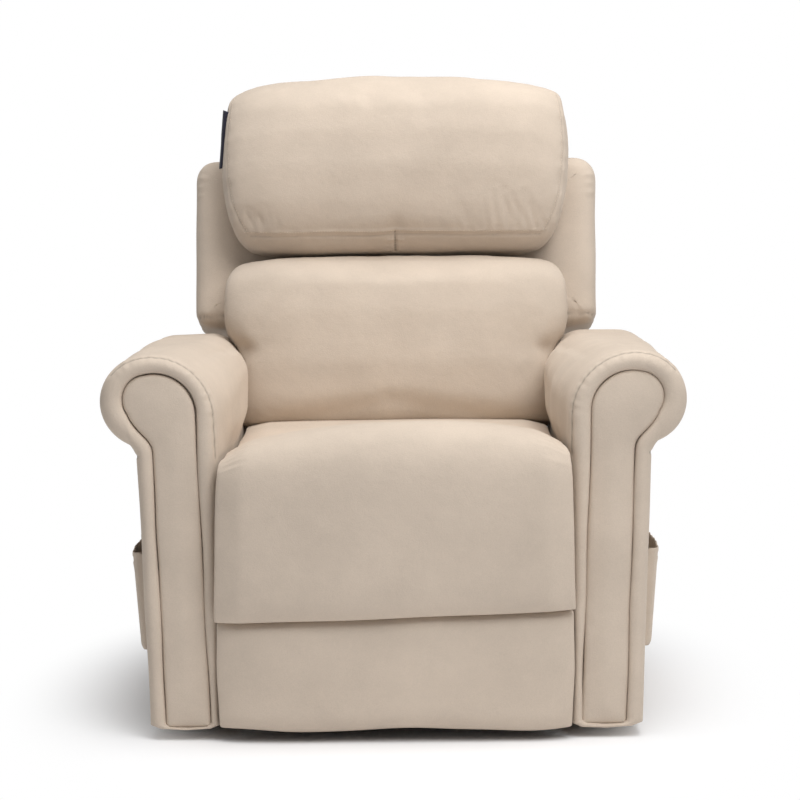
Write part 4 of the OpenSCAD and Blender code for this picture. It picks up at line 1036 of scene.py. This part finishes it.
def stuffed(piece, cap):
    """Remeshes the skin and blows it up as cloth, no point further out than cap, then subdivides."""
    remesh = piece.modifiers.new("remesh", "REMESH")
    remesh.mode, remesh.voxel_size, remesh.use_smooth_shade = "VOXEL", CUSHION_CELL, True
    applied(piece)
    start = places(piece)
    cloth = piece.modifiers.new("cloth", "CLOTH")
    cloth.settings.use_pressure = True
    cloth.settings.uniform_pressure_force = PRESSURE
    cloth.settings.effector_weights.gravity = 0
    cloth.settings.quality = 4
    cloth.settings.tension_stiffness = 25
    cloth.settings.compression_stiffness = 25
    cloth.settings.bending_stiffness = 3
    cloth.point_cache.frame_start, cloth.point_cache.frame_end = 1, FRAMES
    for step in range(1, FRAMES + 1):
        bpy.context.scene.frame_set(step)
    applied(piece)
    bpy.context.scene.frame_set(1)
    push = places(piece) - start
    moved(piece, start)
    way = normals(piece)
    out = np.clip((push * way).sum(1), -0.001, cap)
    side = push - way * (push * way).sum(1)[:, None]
    side *= np.minimum(1, CREEP / np.maximum(np.linalg.norm(side, axis=1), 1e-9))[:, None]
    moved(piece, start + way * out[:, None] + side)
    even = piece.modifiers.new("even", "SMOOTH")
    even.factor, even.iterations = 0.5, 12
    applied(piece)
    subdivided(piece)


SHELL_FACE, LUMBAR_HALF, LUMBAR_DEPTH, LUMBAR_FOOT, LUMBAR_HEIGHT = -0.067, 0.3000, 0.118, 0.070, 0.289
lumbar_table = np.array([(0, 0.935), (0.04, 0.938), (0.12, 0.934), (0.3, 0.920), (0.40, 0.905),
                         (0.44, 0.910), (0.485, 0.935), (0.54, 0.972), (0.62, 0.996), (0.70, 1),
                         (0.80, 0.999), (0.88, 0.985), (0.95, 0.955), (1, 0.90)])


def lumbar_form(a, c, b):
    """a runs across, c to the rear, b upwards."""
    rise = (b + 1) / 2
    wide = LUMBAR_HALF * np.interp(rise, lumbar_table[:, 0], lumbar_table[:, 1])
    full = np.interp(b, (-1, -0.85, -0.3, 0.3, 0.75, 0.92, 1), (0.74, 0.88, 0.99, 1, 0.93, 0.78, 0.58))
    belly = LUMBAR_DEPTH * full
    belly *= 1 - 0.30 * abs(a) ** 7
    arch = 0.005 * (1 - abs(a) ** 4) * max(0, b)
    return on_back(a * wide * (1 - 0.008 * (c < 0)), SHELL_FACE - (-c + 1) / 2 * belly,
                   LUMBAR_FOOT + LUMBAR_HEIGHT * rise + arch)


lumbar = block("lumbar", (56, 12, 30), lumbar_form, beige)
stuffed(lumbar, 0.010)
filled = places(lumbar)
BETWEEN_ARMS, OVER_ARMS, FOOT_BULGE, ARMS_END, BULGE_END = 0.2578, 0.298, 0.0045, 0.560, 0.500
between = np.clip((ARMS_END - filled[:, 2]) / 0.02, 0, 1)
limit = BETWEEN_ARMS * between + OVER_ARMS * (1 - between)
limit = limit + FOOT_BULGE * np.clip((BULGE_END - filled[:, 2]) / 0.03, 0, 1)
filled[:, 0] = np.sign(filled[:, 0]) * np.minimum(np.abs(filled[:, 0]), limit)
moved(lumbar, filled)
creases = []
for s, draw in each_side(42):
    for k in range(5):
        b = 0.52 - 0.13 * k
        inner = 0.80 - draw.uniform(0, 0.14)
        end = lumbar_form(s * inner, -1, b - draw.uniform(0.0, 0.12))
        creases.append((lumbar_form(s * 0.985, -0.55, b), end, draw.uniform(0.0035, 0.0055),
                        draw.uniform(0.0020, 0.0034)))
folded(lumbar, creases)
worn(lumbar, height=0.0012, scale=0.15, seed=41)
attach(lumbar, "back")
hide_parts("lumbar_cushion")

# The head cushion
# A deep boxed pillow: an arched front panel, side gussets and a strip that
# turns under, seamed where they meet and gathered at its lower corners.


STITCH_PROUD = 0.0002


def stitched(name, skin, path, body):
    """A row of stitches lying on a skin along a path."""
    surface = surface_of(skin)
    points = []
    for point in resampled(path, 0.004)[0]:
        spot, way = surface.find_nearest(Vector(point))[:2]
        points.append(spot + way * STITCH_PROUD)
    mesh = bpy.data.meshes.new(name)
    mesh.from_pydata(points, [(i, i + 1) for i in range(len(points) - 1)], [])
    row = linked(name, mesh)
    worked(row, STITCHES, Pitch=0.0046, Length=0.0034, Thickness=0.0009, Thread=thread)
    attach(row, body)


thread, thread_shader, thread_place = finish("sewing_thread", Roughness=0.6, Specular_IOR_Level=0.3)
twist = noise(thread_place, 900, 2)
feed(thread_shader, "Base Color", mixed(twist, linear(206, 188, 170), linear(226, 210, 192)))
feed(thread_shader, "Normal", dented(noise(thread_place, 3000, 2), 0.4, 0.0002))
HEAD_HALF, HEAD_DEPTH, HEAD_FOOT, HEAD_TOP = 0.2935, 0.140, 0.3710, 0.680
head_side = np.array([(-1, 0.860), (-0.95, 0.893), (-0.86, 0.936), (-0.72, 0.968), (-0.5, 0.990),
                      (-0.1, 1.005), (0.3, 1.008), (0.7, 1.0), (0.86, 0.995), (0.95, 0.985), (1, 0.965)])
head_belly = np.array([(-1, 0.46), (-0.9, 0.64), (-0.8, 0.745), (-0.5, 0.87), (-0.1, 0.97), (0.3, 1.0),
                       (0.65, 0.96), (0.86, 0.84), (1, 0.60)])


def head_form(a, c, b):
    """a runs across, c to the rear, b upwards."""
    rise = (b + 1) / 2
    wide = HEAD_HALF * np.interp(b, head_side[:, 0], head_side[:, 1])
    top = HEAD_TOP - 0.0215 * a * a - (0.008 if a < 0 else 0.002) * abs(a) ** 16
    low = HEAD_FOOT + 0.010 * abs(a) ** 6
    belly = HEAD_DEPTH * np.interp(b, head_belly[:, 0], head_belly[:, 1]) * (1 - 0.30 * abs(a) ** 6)
    return on_back(a * wide, SHELL_FACE - (-c + 1) / 2 * belly, low + (top - low) * rise)


head = block("head", (60, 14, 34), head_form, beige)
stuffed(head, 0.009)


def head_at(a, b):
    """A place on the head cushion's front."""
    return head_form(a, -1.0, b)


hem = [head_at(a, -0.80) for a in np.linspace(-0.93, 0.93, 60)]
sewn(head, hem, depth=-0.0018, width=0.0024, pucker=0.0001, pitch=0.037, reach=0.015, seed=51, shade=0.0)
# A shallow groove just below the hem, with painted shade along it.
under_hem = [head_at(a, -0.845) for a in np.linspace(-0.90, 0.90, 60)]
sewn(head, under_hem, depth=0.0016, width=0.0026, pucker=0.0002, pitch=0.037, reach=0.012,
     seed=50, shade=0.35)
middle_seam = [head_at(0.0, b) for b in np.linspace(-1, -0.82, 12)]
sewn(head, middle_seam, depth=0.0030, width=0.0035, pucker=0.0006, pitch=0.02, reach=0.012, seed=52)


def gusset_line(s, inwards=0.0):
    """The seam between the front and a side gusset, from the hem up."""
    return [head_at(s * (np.interp(b, (-0.8, -0.4, 0.2, 0.86), (0.915, 0.955, 0.975, 0.965)) - inwards), b)
            for b in np.linspace(-0.80, 0.88, 44)]


for s in (-1, 1):
    sewn(head, gusset_line(s), depth=0.0013, width=0.0032, pucker=0.0002, pitch=0.037, reach=0.014,
         seed=53 + s, shade=0.28)
folds = []
for s, count, seed in ((1, 9, 61), (-1, 6, 62)):
    draw = random.Random(seed)
    for k in range(count):
        a0 = 0.90 - (0.058 if s > 0 else 0.030) * k - draw.uniform(0, 0.02)
        reach = draw.uniform(0.22, 0.50) * (1 - 0.04 * k) * (1 if s > 0 else 0.7)
        lean = draw.uniform(0.02, 0.15) if s > 0 else draw.uniform(-0.03, 0.02)
        start, end = head_at(s * a0, -0.775), head_at(s * (a0 - lean), -0.775 + reach)
        wide, high = draw.uniform(0.0040, 0.0068), draw.uniform(0.0018, 0.0042)
        folds.append((start, end, wide, high * (1 - 0.05 * k)))
folded(head, folds)
worn(head, height=0.0014, scale=0.15, seed=64)
stitched("head_hem_stitches", head, hem, "back")
for side, s in (("left", -1), ("right", 1)):
    stitched("head_side_stitches_" + side, head, gusset_line(s, 0.012), "back")
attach(head, "back")
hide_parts("head_cushion")

# The tab
# A blank strip of navy woven tape, folded double and caught in the head
# cushion's side seam.
tab_low, tab_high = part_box("label_tab")
tab_cloth, tab_shader, tab_place = finish("navy_woven_tab", Roughness=0.7, Specular_IOR_Level=0.3,
                                          Sheen_Weight=0.2)
weave = Wire.made(tab_place.tree, "ShaderNodeTexWave", {"wave_type": "BANDS", "bands_direction": "Z"},
                  {"Vector": tab_place, "Scale": 620.0}, out=1)
feed(tab_shader, "Base Color", mixed(weave, linear(15, 14, 30), linear(23, 22, 42)))
feed(tab_shader, "Normal", dented(weave, 0.4, 0.0002))


def tab_form(a, c, b):
    """a runs outwards, c to the rear, b upwards."""
    rise = (b + 1) / 2
    outer = (tab_low.x + tab_high.x) / 2 - 0.0017 + 0.0086 * rise
    slant = 0.0045 * (1 - a) / 2 * (1 if b > 0 else -0.6)
    pinch = 1 - 0.5 * max(0, -a) ** 3
    y = (tab_low.y + tab_high.y) / 2 + c * (tab_high.y - tab_low.y) / 2 * pinch
    return outer + (a + 1) / 2 * 0.0115, y, tab_low.z + rise * (tab_high.z - tab_low.z) + slant


tab = block("tab", (8, 4, 24), tab_form, tab_cloth)
subdivided(tab, to_limit=False)
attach(tab, "back")
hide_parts("label_tab")

# The handset
# A slim plastic remote made of two snapped shells, standing in the left
# pocket, with four blank rubber keys in a pad between the shells.
wear(["handset_body"], moulded("handset_plastic", (38, 40, 41), 0.45, 0.00015))
rubber, rubber_shader, rubber_place = finish("key_rubber", Specular_IOR_Level=0.35)
bloom = noise(rubber_place, 300, 2)
feed(rubber_shader, "Base Color", mixed(bloom, linear(150, 152, 154), linear(166, 168, 170)))
feed(rubber_shader, "Roughness", noise(rubber_place, 200, 2) * 0.15 + 0.55)
wear(["button_raise", "button_lower", "button_recline", "button_upright"], rubber)
